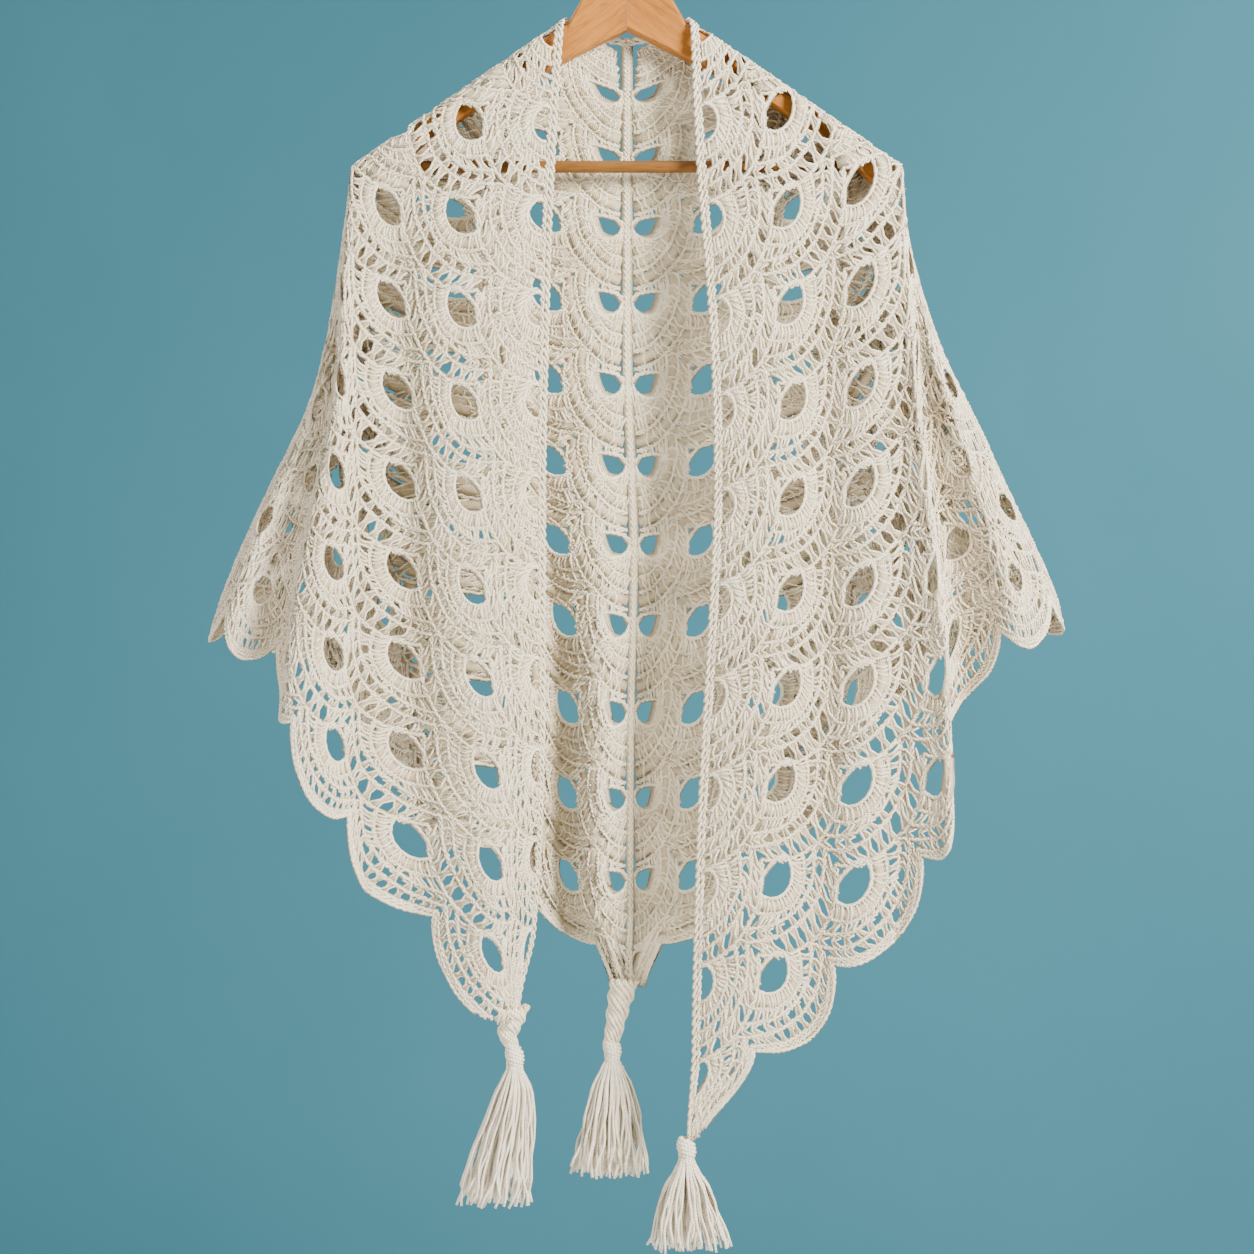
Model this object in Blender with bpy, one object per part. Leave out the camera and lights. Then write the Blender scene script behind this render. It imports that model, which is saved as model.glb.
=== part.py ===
# Crochet shawl on a wooden hanger, modelled in metres with +Z up.
# The origin is the inner top of the hanger's hook. The fronts face -Y.
#
# The shawl is a right-angled triangle of shell fans. Each half has flat coordinates (s, t),
# counted in fans: s runs along the long edge from the middle of the neck, t runs in from it.
# One function hangs the flat cloth over the hanger, and every stretch of it is cut from that.

import math

import bmesh
import bpy
import numpy as np
from mathutils import Matrix, Vector
from mathutils.geometry import delaunay_2d_cdt

MM = 0.001

# Lace: sizes of one shell fan
FAN = 70.0                 # side of a fan's cell in the flat cloth, mm
FAN_RADIUS = 0.83          # scallop at the hem, in fans
VALLEY_ANGLE = 58.4        # where two scallops meet, degrees from the fan's axis
HEM_FANS = 12              # a fan at (i, j) lies on the hem where i + j is this
WALL = 2.6                 # thickness of the cloth, mm
SEAM = 0.0035              # each stretch stops this far short of its seam, in fans
NORMAL_STEP = 0.15         # the wall's direction is taken over this distance, in fans
FULL_EYE = ((0.25, -0.02), (0.19, 0.12), (0.0, 0.20), (-0.19, 0.12), (-0.25, -0.02), (0.0, -0.06))
EDGE_EYE = ((0.22, 0.15), (0.10, 0.22), (-0.10, 0.22), (-0.22, 0.15), (-0.10, 0.08), (0.10, 0.08))
SPINE_EYE = ((0.09, -0.02), (0.24, -0.10), (0.42, -0.08), (0.40, 0.06), (0.24, 0.13), (0.10, 0.08))
VALLEY_GAP = 0.06          # half a valley gap, in fans
VALLEY_GAP_AT = -0.165     # above the eye's centre, in fans
GRID = 1.0 / 3.0           # spacing of the points that carry the folds
EDGE_STEP = 1.0 / 4.0      # spacing of points along seams and edges
CURVE_STEP = 0.13          # the same where the cloth rounds an arm
CURVE_REACH = 0.6          # how far from the shoulder line that is
LINE_CLEAR = 0.045         # points beside the shoulder seam keep this far from eyes and edges
LINK_STEP = 0.08           # spacing at which a line along the shoulder is tested for eyes in its way
SCALLOP_STEP = 19.5        # degrees between points of a scallop
SEAM_SHIFT = 0.5           # front and back meet at s = t + this, close to the shoulder line
SHOULDER_STEP = 0.27       # spacing of points along the lines beside that seam
SHOULDER_LINES = (-0.75, -0.6, -0.45, -0.3, -0.15, 0.15, 0.3, 0.45, 0.6)
RAY_STEP = 0.36            # spacing of points along the side's folds
RAYS_FULL = 2.4            # fans from the shoulder's end where every ray has points
FRONT_SEAM = 2.5           # the front ends between fan rows 2 and 3, and so does the back
SIDE_FANS = HEM_FANS - 3

# Hanger
HOOK_WIRE = 2.0            # radius of the hook's wire, mm
HOOK_INNER = 22.0          # inner radius of the hook
HOOK_OPEN = 195.0          # the hook's free end, degrees round from +X
HOOK_TURN_IN = -48.0       # where the round turns in to the shaft
HOOK_SHAFT = (54.0, 84.0)  # drop where the shaft is upright, and its end in the wood
HOOK_STEPS = (22, 6)       # pieces of wire in the round and in the turn to the shaft
COLLAR = (2.4, 6.0, 3.0)   # inner radius, outer radius and height
NECK_DROP = 103.3          # cloth on the shoulder line, next to the neck
END_DROP = 223.0           # cloth at the shoulder line's end
NECK_X = 50.8
END_X = 225.2
ARM_HALF = 8.0             # half the arms' depth
ARM_CHAMFER = 2.0          # along the arms' underside
WRAP_RADIUS = 15.6         # half-round of the cloth over an arm
BAR_DROP = 224.7
BAR_RADIUS = 5.0
BAR_END = 201.0
FIT = 0.3                  # clearance between wood, bar and wire
MITRE = 0.15               # each arm stops this far short of the middle
# Sections of an arm: (outward, drop of its top, drop of its underside, rounding of the top's edges)
ARM_SECTIONS = (
    (MITRE, 60.0, 112.5, 2.0),
    (14.0, 62.0, 119.0, 2.0),
    (26.0, 70.0, 125.2, 3.0),
    (36.0, 84.5, 130.2, 4.0),
    (43.0, 95.9, 133.6, 6.0),
    (49.0, 106.5, 136.5, 7.5),
    (76.0, 124.0, 151.1, 7.5),
    (120.0, 154.9, 175.0, 7.5),
    (165.0, 185.2, 204.0, 7.0),
    (184.0, 199.5, 221.0, 7.0),
    (198.0, 209.6, 235.0, 7.0),
    (206.0, 217.0, 240.0, 6.0),
    (211.0, 225.0, 239.0, 4.0),
)

# How each half hangs. Lengths are mm, s and t are in fans, outward is away from the middle.
# ridge: s on the shoulder line for t = 0, 1, 2, and at its end, where (s, t) is end.
# front: (drop, outward at t = 0, 1, 2, end). back: (drop, outward at s = 0, 1, 2, end).
# stretch: mm of drop for each fan down the front, at t = 0, 1, 2, end.
# swell: (column, forward at drop 250, 480, 700, 950) for the front's soft folds.
# furrow: (column, backward at drop 250, 480, 700, 950) for the back's folds.
RIGHT = {
    "sign": 1,
    "end": (2.85, 2.55),
    "ridge": (0.78, 1.52, 2.38, 2.85),
    "stretch": (77.7, 77.6, 80.9, 81.4),
    "front": (
        (103, 50.4, 116.0, 180.0, 214.0),
        (250, 57.8, 128.5, 188.5, 223.5),
        (335, 65.3, 131.5, 189.0, 225.0),
        (435, 70.2, 134.5, 188.5, 225.5),
        (500, 70.8, 133.5, 188.0, 225.5),
        (615, 65.3, 131.0, 187.0, 225.5),
        (750, 57.8, 123.0, 184.5, 224.0),
        (880, 53.7, 118.0, 181.0, 222.0),
        (1016, 52.0, 114.0, 178.0, 220.0),
    ),
    "back": (
        (116, 0.0, 69.0, 146.0, 222.0),
        (300, 0.0, 65.5, 141.0, 222.0),
        (400, 0.5, 63.6, 134.0, 215.0),
        (471, 3.5, 60.8, 128.0, 206.0),
        (536, 6.0, 60.3, 122.0, 198.0),
        (600, 5.2, 58.5, 117.0, 190.0),
        (676, 3.5, 54.0, 112.0, 182.0),
        (760, 3.0, 52.0, 108.0, 175.0),
        (960, 3.0, 50.0, 100.0, 168.0),
    ),
    "swell": (
        (0.0, 4, 8, 10, 10),
        (0.5, 8, 16, 20, 20),
        (1.0, 7, 14, 19, 20),
        (1.55, 2, 3, 4, 6),
        (2.05, 7, 14, 18, 18),
        (2.55, 5, 10, 14, 14),
    ),
    "furrow": (
        (0.0, 5, 12, 16, 18),
        (0.24, 5, 18, 30, 34),
        (0.6, 6, 23, 38, 42),
        (1.0, 6, 18, 32, 36),
        (1.5, 4, 8, 14, 16),
        (2.1, 7, 22, 34, 38),
        (2.55, 4, 12, 20, 22),
        (2.85, 4, 10, 16, 18),
    ),
    # fold: (degrees round the shoulder's end, outward, forward), as slopes of the hanging cloth
    "fold": (
        (0.0, 0.0, 0.0),
        (4.0, 0.055, 0.030),
        (7.5, 0.080, 0.045),
        (11.0, 0.090, 0.0),
        (14.5, 0.100, -0.045),
        (18.0, 0.130, -0.055),
        (22.0, 0.185, -0.020),
        (27.0, 0.240, 0.035),
        (33.0, 0.285, 0.040),
        (40.0, 0.345, -0.005),
        (45.5, 0.370, -0.070),
        (51.0, 0.335, -0.130),
        (58.0, 0.245, -0.150),
        (65.0, 0.170, -0.095),
        (71.0, 0.135, -0.055),
        (77.0, 0.105, -0.085),
        (83.0, 0.055, -0.095),
        (90.0, 0.0, 0.0),
    ),
    # flare: (fans from the shoulder's end, share of the outward slope reached there)
    "flare": ((0.0, 0.15), (0.76, 0.22), (1.5, 0.43), (2.17, 0.60), (3.0, 0.82), (3.75, 0.91),
              (4.5, 0.98), (5.1, 1.0), (5.8, 0.95)),
}

LEFT = {
    "sign": -1,
    "end": (2.50, 2.50),
    "ridge": (0.72, 1.39, 2.09, 2.50),
    "stretch": (74.3, 74.8, 73.2, 73.0),
    "front": (
        (103, 51.2, 120.0, 186.0, 219.0),
        (250, 59.5, 134.5, 196.5, 224.5),
        (335, 62.5, 134.5, 192.0, 223.5),
        (409, 64.5, 132.8, 186.0, 221.5),
        (500, 66.1, 128.0, 183.2, 219.0),
        (600, 66.1, 123.5, 181.2, 218.0),
        (700, 67.0, 113.6, 179.4, 217.5),
        (800, 71.0, 108.8, 174.5, 214.0),
        (900, 79.5, 109.0, 168.0, 210.0),
        (1016, 90.0, 112.0, 164.0, 206.0),
    ),
    "back": (
        (116, 0.0, 70.0, 156.0, 222.0),
        (300, 0.0, 66.0, 146.0, 221.0),
        (400, -0.5, 64.3, 138.0, 213.0),
        (471, -3.5, 61.5, 130.0, 204.0),
        (536, -6.0, 57.5, 121.0, 195.0),
        (600, -5.2, 51.5, 114.0, 187.0),
        (676, -3.5, 48.7, 108.0, 180.0),
        (760, -3.0, 49.6, 104.0, 173.0),
        (960, -3.0, 42.0, 98.0, 166.0),
    ),
    "swell": (
        (0.0, 5, 8, 4, -16),
        (0.5, 9, 17, 19, 8),
        (1.0, 9, 18, 24, 22),
        (1.6, 6, 12, 14, 14),
        (2.0, 1, 0, 2, 6),
        (2.5, 6, 12, 16, 16),
    ),
    "furrow": (
        (0.0, 5, 12, 16, 18),
        (0.18, 5, 9, 9, 10),
        (0.5, 5, 6, 2, 2),
        (0.85, 6, 11, 14, 15),
        (1.2, 8, 20, 32, 36),
        (1.6, 4, 12, 24, 28),
        (2.1, 6, 22, 36, 40),
        (2.5, 4, 12, 18, 20),
    ),
    "fold": (
        (0.0, 0.0, 0.0),
        (5.0, 0.045, 0.030),
        (10.0, 0.100, 0.055),
        (14.0, 0.143, 0.040),
        (17.0, 0.152, 0.0),
        (20.0, 0.160, -0.040),
        (24.0, 0.185, -0.052),
        (29.0, 0.235, -0.020),
        (35.0, 0.285, 0.005),
        (41.0, 0.325, -0.030),
        (46.0, 0.335, -0.085),
        (52.0, 0.295, -0.140),
        (59.0, 0.215, -0.150),
        (66.0, 0.155, -0.095),
        (72.0, 0.125, -0.055),
        (78.0, 0.095, -0.085),
        (84.0, 0.050, -0.090),
        (90.0, 0.0, 0.0),
    ),
    "flare": ((0.0, 0.30), (0.4, 0.36), (1.25, 0.43), (2.2, 0.52), (3.1, 0.68), (3.75, 0.84),
              (4.6, 0.96), (5.5, 1.0), (6.2, 0.97)),
}

# Drop of the back's rows t = 0, 1, 2 and on, down the spine
BACK_ROWS = (115.6, 163.5, 214.8, 272.0, 334.5, 402.0, 470.0, 536.0, 603.0, 676.0, 748.0, 817.0,
             886.0, 954.0)
FOLD_DROPS = (250.0, 480.0, 700.0, 950.0)   # drops that swell and furrow are given at
BACK_LIFT = 15.0           # how much higher the back's rows hang at the side than on the spine
BACK_EVENS_OUT = 3.5       # fans from the shoulder line where the rows hang at their own drop
BACK_STRETCH = 58.0        # mm of drop for each fan just below the shoulder line
WRAP_FADES = 130.0         # below this drop the round over the arm no longer shortens the cloth
SHOULDER_FADES = 60.0      # drop over which the cloth leaves the shoulder line's shape
SWELL_WHOLE = 140.0        # drop below the shoulder line where the front's folds are whole
FURROW_WHOLE = 120.0       # the same for the back's
FOLD_STARTS = 0.7          # the side's folds grow between these distances from its end, in fans
FOLD_WHOLE = 2.9
SIDE_SLOPE = 0.37          # outward slope of the side before its folds begin
# Degrees at which the side leaves the front's line, and how many more it takes
SIDE_TURNS_BACK = (42.0, 48.0)
# Shares of the back's shorter drop: (share, first degree, degrees that it takes)
SIDE_SHORTENS = ((0.75, 4.0, 17.0), (0.25, 50.0, 40.0))
NECK_RISE = 12.3           # the neck edge climbs this much from the spine to the shoulder line

# Corners that run together into a knot or a twist.
# cut: where the cloth stops. reach: how far up it starts to narrow. keep: width that is left.
CORNERS = {
    "front_right": {"cut": 12.62, "reach": 0.9, "keep": 0.30, "x": 49.0, "y": -26.5, "span": 1.1},
    "front_left": {"cut": 11.75, "reach": 0.9, "keep": 0.26, "x": 92.0, "y": -12.0, "span": 1.3},
    "back": {"cut": 12.30, "reach": 1.0, "keep": 0.20, "x": 2.0, "y": 35.0, "span": 1.6},
}

# Twists and tassels: mm, x outward to the right, y backward, drop below the hook
TWISTS = {
    "twist_left": ((-92.0, -12.0, 923.4, 10.0), (-98.0, -11.0, 939.0, 8.0), (-93.5, -10.0, 949.8, 6.0)),
    "twist_back": ((-2.0, 35.0, 906.7, 11.0), (-8.0, 34.5, 930.0, 8.5), (-12.5, 34.0, 949.8, 8.0)),
}
TASSELS = {
    "tassel_left": {"knot": (-92.5, -10.0, 957.3), "foot": (-111.5, -10.0, 1078.0), "spread": 31.0},
    "tassel_back": {"knot": (-12.5, 34.0, 957.3), "foot": (-14.0, 34.0, 1061.0), "spread": 33.0},
    "tassel_right": {"knot": (48.5, -26.5, 1030.3), "foot": (50.0, -26.5, 1119.0), "spread": 34.0},
}
KNOT_RADIUS = 8.4
TASSEL_SHOULDER = 12.0
# Knot and head: (radius, drop from the knot's middle), down to the head's underside
TASSEL_PROFILE = ((4.6, -7.1), (KNOT_RADIUS, 0.0), (6.7, 6.0), (5.5, 9.5), (KNOT_RADIUS, 15.0),
                  (TASSEL_SHOULDER, 24.0))
TASSEL_SIDES = 12
STRAND_CUTS = 1            # cuts along each wedge of the head's underside
STRAND_GAP = 0.35          # strands stand this far apart at their roots, twice, mm
STRAND_UNEVEN = 3.0        # how much the strands differ in length
STRAND_STATIONS = (0.35, 1.0)
TWIST_TURNS = 0.75
TWIST_SIDES = 14
TWIST_RINGS = 9
TWIST_LOBES = 0.14         # depth of the two lobes, as a share of the radius

COTTON = ("cotton", (0.80, 0.77, 0.70), 0.95, 0.0)
WOOD = ("wood", (0.52, 0.30, 0.14), 0.5, 0.0)
METAL = ("metal", (0.62, 0.62, 0.60), 0.3, 1.0)


def clear_scene():
    for old in list(bpy.data.objects):
        bpy.data.objects.remove(old, do_unlink=True)


def material(kind):
    name, colour, roughness, metallic = kind
    found = bpy.data.materials.get(name)
    if found:
        return found
    made = bpy.data.materials.new(name)
    made.use_nodes = True
    shader = made.node_tree.nodes["Principled BSDF"]
    shader.inputs["Base Color"].default_value = (*colour, 1.0)
    shader.inputs["Roughness"].default_value = roughness
    shader.inputs["Metallic"].default_value = metallic
    return made


def add_object(name, points, faces, kind):
    mesh = bpy.data.meshes.new(name)
    mesh.from_pydata([tuple(p) for p in points], [], faces)
    mesh.materials.append(material(kind))
    obj = bpy.data.objects.new(name, mesh)
    bpy.context.scene.collection.objects.link(obj)
    return obj


def soft_step(x):
    x = np.clip(x, 0.0, 1.0)
    return x * x * (3.0 - 2.0 * x)


def curve_through(x, knots, values):
    """Smooth curve through a table's rows, straight beyond its ends."""
    knots = np.asarray(knots, float)
    values = np.asarray(values, float)
    x = np.asarray(x, float)
    if values.ndim == 1:
        values = np.repeat(values[:, None], x.size, axis=1)
    slopes = np.gradient(values, knots, axis=0)
    flat = x.ravel()
    row = np.clip(np.searchsorted(knots, flat) - 1, 0, len(knots) - 2)
    each = np.arange(flat.size)
    width = knots[row + 1] - knots[row]
    u = (flat - knots[row]) / width
    c = np.clip(u, 0.0, 1.0)
    start, end = values[row, each], values[row + 1, each]
    rise, fall = slopes[row, each] * width, slopes[row + 1, each] * width
    y = start * (2 * c**3 - 3 * c**2 + 1) + end * (3 * c**2 - 2 * c**3)
    y += rise * (c**3 - 2 * c**2 + c) + fall * (c**3 - c**2)
    y += np.where(u < 0, u * rise, 0.0) + np.where(u > 1, (u - 1) * fall, 0.0)
    return y.reshape(x.shape)


def table_column(rows, column):
    return [row[column] for row in rows]


def across(x, knots, rows, drop):
    """Read a table whose rows are drops and whose columns are lines of the cloth."""
    drops = table_column(rows, 0)
    lines = [curve_through(drop, drops, table_column(rows, c + 1)) for c in range(len(knots))]
    return curve_through(x, knots, np.array(lines))


def relief(x, rows, drop):
    """Depth of the soft folds: rows are lines of the cloth, columns are drops."""
    knots = table_column(rows, 0)
    lines = [curve_through(drop, FOLD_DROPS, row[1:]) for row in rows]
    return curve_through(x, knots, np.array(lines))


def over_arm(d):
    """The half-round over an arm: depth gained, and how much less it drops than it runs."""
    turn = np.clip(d / WRAP_RADIUS, 0.0, math.pi / 2)
    depth = WRAP_RADIUS * np.sin(turn)
    lift = turn * WRAP_RADIUS - WRAP_RADIUS * (1.0 - np.cos(turn))
    return depth, lift / (1.0 + (d / WRAP_FADES) ** 2)


def hang_front(side, s, t):
    end_t = side["end"][1]
    lines = (0.0, 1.0, 2.0, end_t)
    start = curve_through(t, lines, side["ridge"])
    stretch = curve_through(t, lines, side["stretch"])
    d = np.maximum(s - start, 0.0) * stretch
    share = t / end_t
    ridge_drop = NECK_DROP + (END_DROP - NECK_DROP) * share
    ridge_x = NECK_X + (END_X - NECK_X) * share
    drop = ridge_drop + d
    x = across(t, lines, side["front"], drop)
    x += (ridge_x - across(t, lines, side["front"], ridge_drop)) * np.exp(-((d / SHOULDER_FADES) ** 2))
    depth, lift = over_arm(d)
    swell = relief(t, side["swell"], drop) * soft_step(d / SWELL_WHOLE)
    return x, -(depth + swell), drop - lift


def ridge_of_back(side, s):
    """t on the shoulder line for each column s of the back."""
    lines = (0.0, 1.0, 2.0, side["end"][1])
    t = np.linspace(-2.0, side["end"][1], 200)
    return np.interp(s, curve_through(t, lines, side["ridge"]), t)


def hang_back(side, s, t):
    end_s, end_t = side["end"]
    lines = (0.0, 1.0, 2.0, end_s)
    rows = np.arange(len(BACK_ROWS))
    start = ridge_of_back(side, s)
    share = start / end_t
    ridge_drop = NECK_DROP + (END_DROP - NECK_DROP) * share
    ridge_x = NECK_X + (END_X - NECK_X) * np.maximum(share, 0.0)
    from_t = np.maximum(start, 0.0)
    neck = np.clip(s / side["ridge"][0], 0.0, 1.0) ** 2
    top_shift = np.where(start < 0.0, -NECK_RISE * neck, ridge_drop - curve_through(from_t, rows, BACK_ROWS))
    low_shift = -BACK_LIFT * soft_step(s / end_s)
    ramp = soft_step((t - from_t) / BACK_EVENS_OUT)
    drop = curve_through(t, rows, BACK_ROWS) + top_shift * (1.0 - ramp) + low_shift * ramp
    d = np.maximum(t - start, 0.0) * BACK_STRETCH
    x = across(s, lines, side["back"], drop)
    near = np.exp(-((d / SHOULDER_FADES) ** 2)) * soft_step(s / side["ridge"][0])
    x += (ridge_x - across(s, lines, side["back"], np.maximum(ridge_drop, NECK_DROP))) * near
    depth, lift = over_arm(d)
    furrow = relief(s, side["furrow"], drop) * soft_step(d / FURROW_WHOLE)
    return x, depth + furrow, drop - lift * soft_step(s / side["ridge"][0])


def hang_side(side, s, t):
    """Folds that fan out from the shoulder line's end."""
    end_s, end_t = side["end"]
    ds = np.maximum(s - end_s, 0.0)
    dt = np.maximum(t - end_t, 0.0)
    reach = np.hypot(ds, dt)
    angle = np.degrees(np.arctan2(dt, ds + 1e-9))
    ones = np.ones_like(reach)
    fx, fy, fd = hang_front(side, end_s + reach, end_t * ones)
    bx, by, bd = hang_back(side, end_s * ones, end_t + reach)
    turn = angle / 90.0
    to_back = soft_step((angle - SIDE_TURNS_BACK[0]) / SIDE_TURNS_BACK[1])
    x = fx + (bx - fx) * to_back
    y = fy * np.cos(turn * math.pi / 2) ** 2 + by * np.sin(turn * math.pi / 2) ** 2
    shorter = sum(share * soft_step((angle - begin) / over) for share, begin, over in SIDE_SHORTENS)
    drop = fd + (bd - fd) * shorter
    length = drop - END_DROP
    knots = table_column(side["fold"], 0)
    outward = curve_through(angle, knots, table_column(side["fold"], 1))
    forward = curve_through(angle, knots, table_column(side["fold"], 2))
    plain = SIDE_SLOPE * np.sin(turn * math.pi) ** 0.8
    flare = curve_through(reach, table_column(side["flare"], 0), table_column(side["flare"], 1))
    folded = soft_step((reach - FOLD_STARTS) / (FOLD_WHOLE - FOLD_STARTS))
    lean = (plain + (outward - plain) * folded) * flare
    return x + length * lean, y - length * forward * folded, drop


def gather(corner, along, off, x, y):
    """Draw the cloth together where it runs into its knot or twist."""
    cut, reach = corner["cut"], corner["reach"]
    near = soft_step((along - cut + reach) / reach) * (1.0 - soft_step((off - 0.35) / corner["span"]))
    pull = near * (1.0 - corner["keep"])
    return x + (corner["x"] - x) * pull, y + (corner["y"] - y) * pull


def hang(side, s, t):
    """Hang flat points (s, t) of one half over the hanger, in metres."""
    s = np.asarray(s, float)
    t = np.asarray(t, float)
    end_s, end_t = side["end"]
    lines = (0.0, 1.0, 2.0, end_t)
    low_t = np.minimum(t, end_t)
    low_s = np.minimum(s, end_s)
    front = hang_front(side, s, low_t)
    back = hang_back(side, low_s, t)
    round_end = hang_side(side, s, t)
    in_side = (s > end_s) & (t > end_t)
    in_front = (t <= end_t) & (s >= curve_through(low_t, lines, side["ridge"]))
    x, y, drop = [np.where(in_side, w, np.where(in_front, f, b)) for w, f, b in zip(round_end, front, back)]
    name = "front_right" if side["sign"] > 0 else "front_left"
    x, y = gather(CORNERS[name], s, t, x, y)
    x, y = gather(CORNERS["back"], t, s, x, y)
    return np.stack([side["sign"] * x, y, -drop], axis=-1) * MM


def hang_both(side, s, t):
    """Hang points that may lie just past the spine, on the other half."""
    other = LEFT if side["sign"] > 0 else RIGHT
    return np.where((s >= 0.0)[:, None], hang(side, np.abs(s), t), hang(other, np.abs(s), t))


def hang_wall(side, points):
    """Inner and outer points of the wall at flat points, set off along the cloth's normal."""
    s, t = points[:, 0], points[:, 1]
    middle = hang(side, s, t)
    along = hang_both(side, s + NORMAL_STEP, t) - hang_both(side, s - NORMAL_STEP, t)
    inward = hang_both(side, s, t + NORMAL_STEP) - hang_both(side, s, t - NORMAL_STEP)
    normal = np.cross(along, inward)
    normal /= np.linalg.norm(normal, axis=1)[:, None]
    half = WALL * MM / 2
    return middle - normal * half, middle + normal * half


def from_fan(i, j, e, n):
    """Flat point at e along the hem's direction and n towards the hem from eye (i, j)."""
    return (i + (e + n) * math.sqrt(0.5), j + (n - e) * math.sqrt(0.5))


def scallop(i, j, first, last):
    """Points of a fan's hem arc from one angle off its axis to another, in degrees."""
    count = max(2, round(abs(last - first) / SCALLOP_STEP))
    angles = [math.radians(first + (last - first) * k / count) for k in range(count + 1)]
    return [from_fan(i, j, FAN_RADIUS * math.sin(a), FAN_RADIUS * math.cos(a)) for a in angles]


def straight(a, b, step=EDGE_STEP):
    """Even steps from a up to, but without, b."""
    steps = max(1, round(math.dist(a, b) / step))
    return [(a[0] + (b[0] - a[0]) * k / steps, a[1] + (b[1] - a[1]) * k / steps) for k in range(steps)]


def valley(i, j):
    """Where the scallops of (i, j) and (i - 1, j + 1) meet."""
    angle = math.radians(VALLEY_ANGLE)
    return from_fan(i, j, -FAN_RADIUS * math.sin(angle), FAN_RADIUS * math.cos(angle))


def hem_run(first_j, last_j):
    """Scallops of the hem's fans in rows first_j to last_j, up to the last one's far valley."""
    points = []
    for j in range(first_j, last_j + 1):
        points += scallop(HEM_FANS - j, j, VALLEY_ANGLE, -VALLEY_ANGLE)[:-1]
    return points


def clip(outline, axis, limit):
    """Cut an outline off where one flat coordinate passes a limit."""
    kept = []
    for a, b in zip(outline, outline[1:] + outline[:1]):
        if a[axis] <= limit:
            kept.append(a)
        if (a[axis] <= limit) != (b[axis] <= limit):
            u = (limit - a[axis]) / (b[axis] - a[axis])
            kept.append((a[0] + (b[0] - a[0]) * u, a[1] + (b[1] - a[1]) * u))
    return kept


def draw_in(outline, gap):
    """Move an anticlockwise outline inwards by a gap."""
    moved = []
    for before, point, after in zip(outline[-1:] + outline[:-1], outline, outline[1:] + outline[:1]):
        first = Vector((point[0] - before[0], point[1] - before[1])).normalized()
        second = Vector((after[0] - point[0], after[1] - point[1])).normalized()
        inward = Vector((-first.y - second.y, first.x + second.x)).normalized()
        inward *= gap / max(0.4, inward.dot(Vector((-first.y, first.x))))
        moved.append((point[0] + inward.x, point[1] + inward.y))
    return moved


def front_outline(corner):
    edge_end = (HEM_FANS + FAN_RADIUS, 0.0)
    outline = straight((0.5, 0.0), edge_end) + scallop(HEM_FANS, 0, 45.0, -VALLEY_ANGLE)[:-1]
    outline += hem_run(1, 2)
    outline += straight(valley(HEM_FANS - 2, 2), (SIDE_FANS + 0.5, FRONT_SEAM))
    outline += straight((SIDE_FANS + 0.5, FRONT_SEAM), (FRONT_SEAM + 0.5, FRONT_SEAM))
    outline += straight((FRONT_SEAM + 0.5, FRONT_SEAM), (0.5, 0.0), CURVE_STEP)
    return draw_in(clip(outline, 0, corner["cut"]), SEAM)


def side_outline():
    low, high = FRONT_SEAM, SIDE_FANS + 0.5
    outline = straight((low + 0.5, low), (high, low)) + straight((high, low), valley(HEM_FANS - 2, 2))
    outline += hem_run(3, SIDE_FANS)
    outline += straight(valley(3, SIDE_FANS), (low, high)) + straight((low, high), (low, low - 0.5))
    outline += straight((low, low - 0.5), (low + 0.5, low), CURVE_STEP)
    return draw_in(outline, SEAM)


def back_outline(corner):
    low, high = FRONT_SEAM, SIDE_FANS + 0.5
    outline = straight((0.0, 0.0), (0.5, 0.0)) + straight((0.5, 0.0), (low, low - 0.5), CURVE_STEP)
    outline += straight((low, low - 0.5), (low, high)) + straight((low, high), valley(3, SIDE_FANS))
    outline += hem_run(SIDE_FANS + 1, HEM_FANS - 1)
    outline += scallop(0, HEM_FANS, VALLEY_ANGLE, -45.0)[:-1]
    outline += straight((0.0, HEM_FANS + FAN_RADIUS), (0.0, 0.0))
    return draw_in(clip(outline, 1, corner["cut"]), SEAM)


def eyes_in(outline):
    """The eyes that lie inside an outline, largest first, each a loop of flat points."""
    loops = []
    for j in range(HEM_FANS + 1):
        for i in range(HEM_FANS + 1 - j):
            if i == 0 and j == 0:
                continue
            if j == 0:
                loops.append([(i + a, b) for a, b in EDGE_EYE])
            elif i == 0:
                loops.append([(a, j + b) for a, b in SPINE_EYE])
            else:
                loops.append([from_fan(i, j, e, n) for e, n in FULL_EYE])
    return [loop for loop in loops if all(inside(point, outline) for point in grown(loop, 1.35))]


def gaps_in(outline):
    """The diamond gaps over the eyes, where two fans of the row before meet."""
    half = VALLEY_GAP
    loops = []
    for j in range(1, HEM_FANS):
        for i in range(1, HEM_FANS + 1 - j):
            shape = ((half, 0.0), (0.0, half), (-half, 0.0), (0.0, -half))
            loops.append([from_fan(i, j, e, VALLEY_GAP_AT + n) for e, n in shape])
    return [loop for loop in loops if all(inside(point, outline) for point in grown(loop, 2.0))]


def grown(loop, scale):
    middle = [sum(p[axis] for p in loop) / len(loop) for axis in (0, 1)]
    return [tuple(middle[axis] + (p[axis] - middle[axis]) * scale for axis in (0, 1)) for p in loop]


def inside(point, outline):
    """Whether a flat point lies inside a closed outline."""
    odd = False
    for a, b in zip(outline, outline[1:] + outline[:1]):
        if (a[1] > point[1]) != (b[1] > point[1]):
            if point[0] < a[0] + (b[0] - a[0]) * (point[1] - a[1]) / (b[1] - a[1]):
                odd = not odd
    return odd


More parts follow.
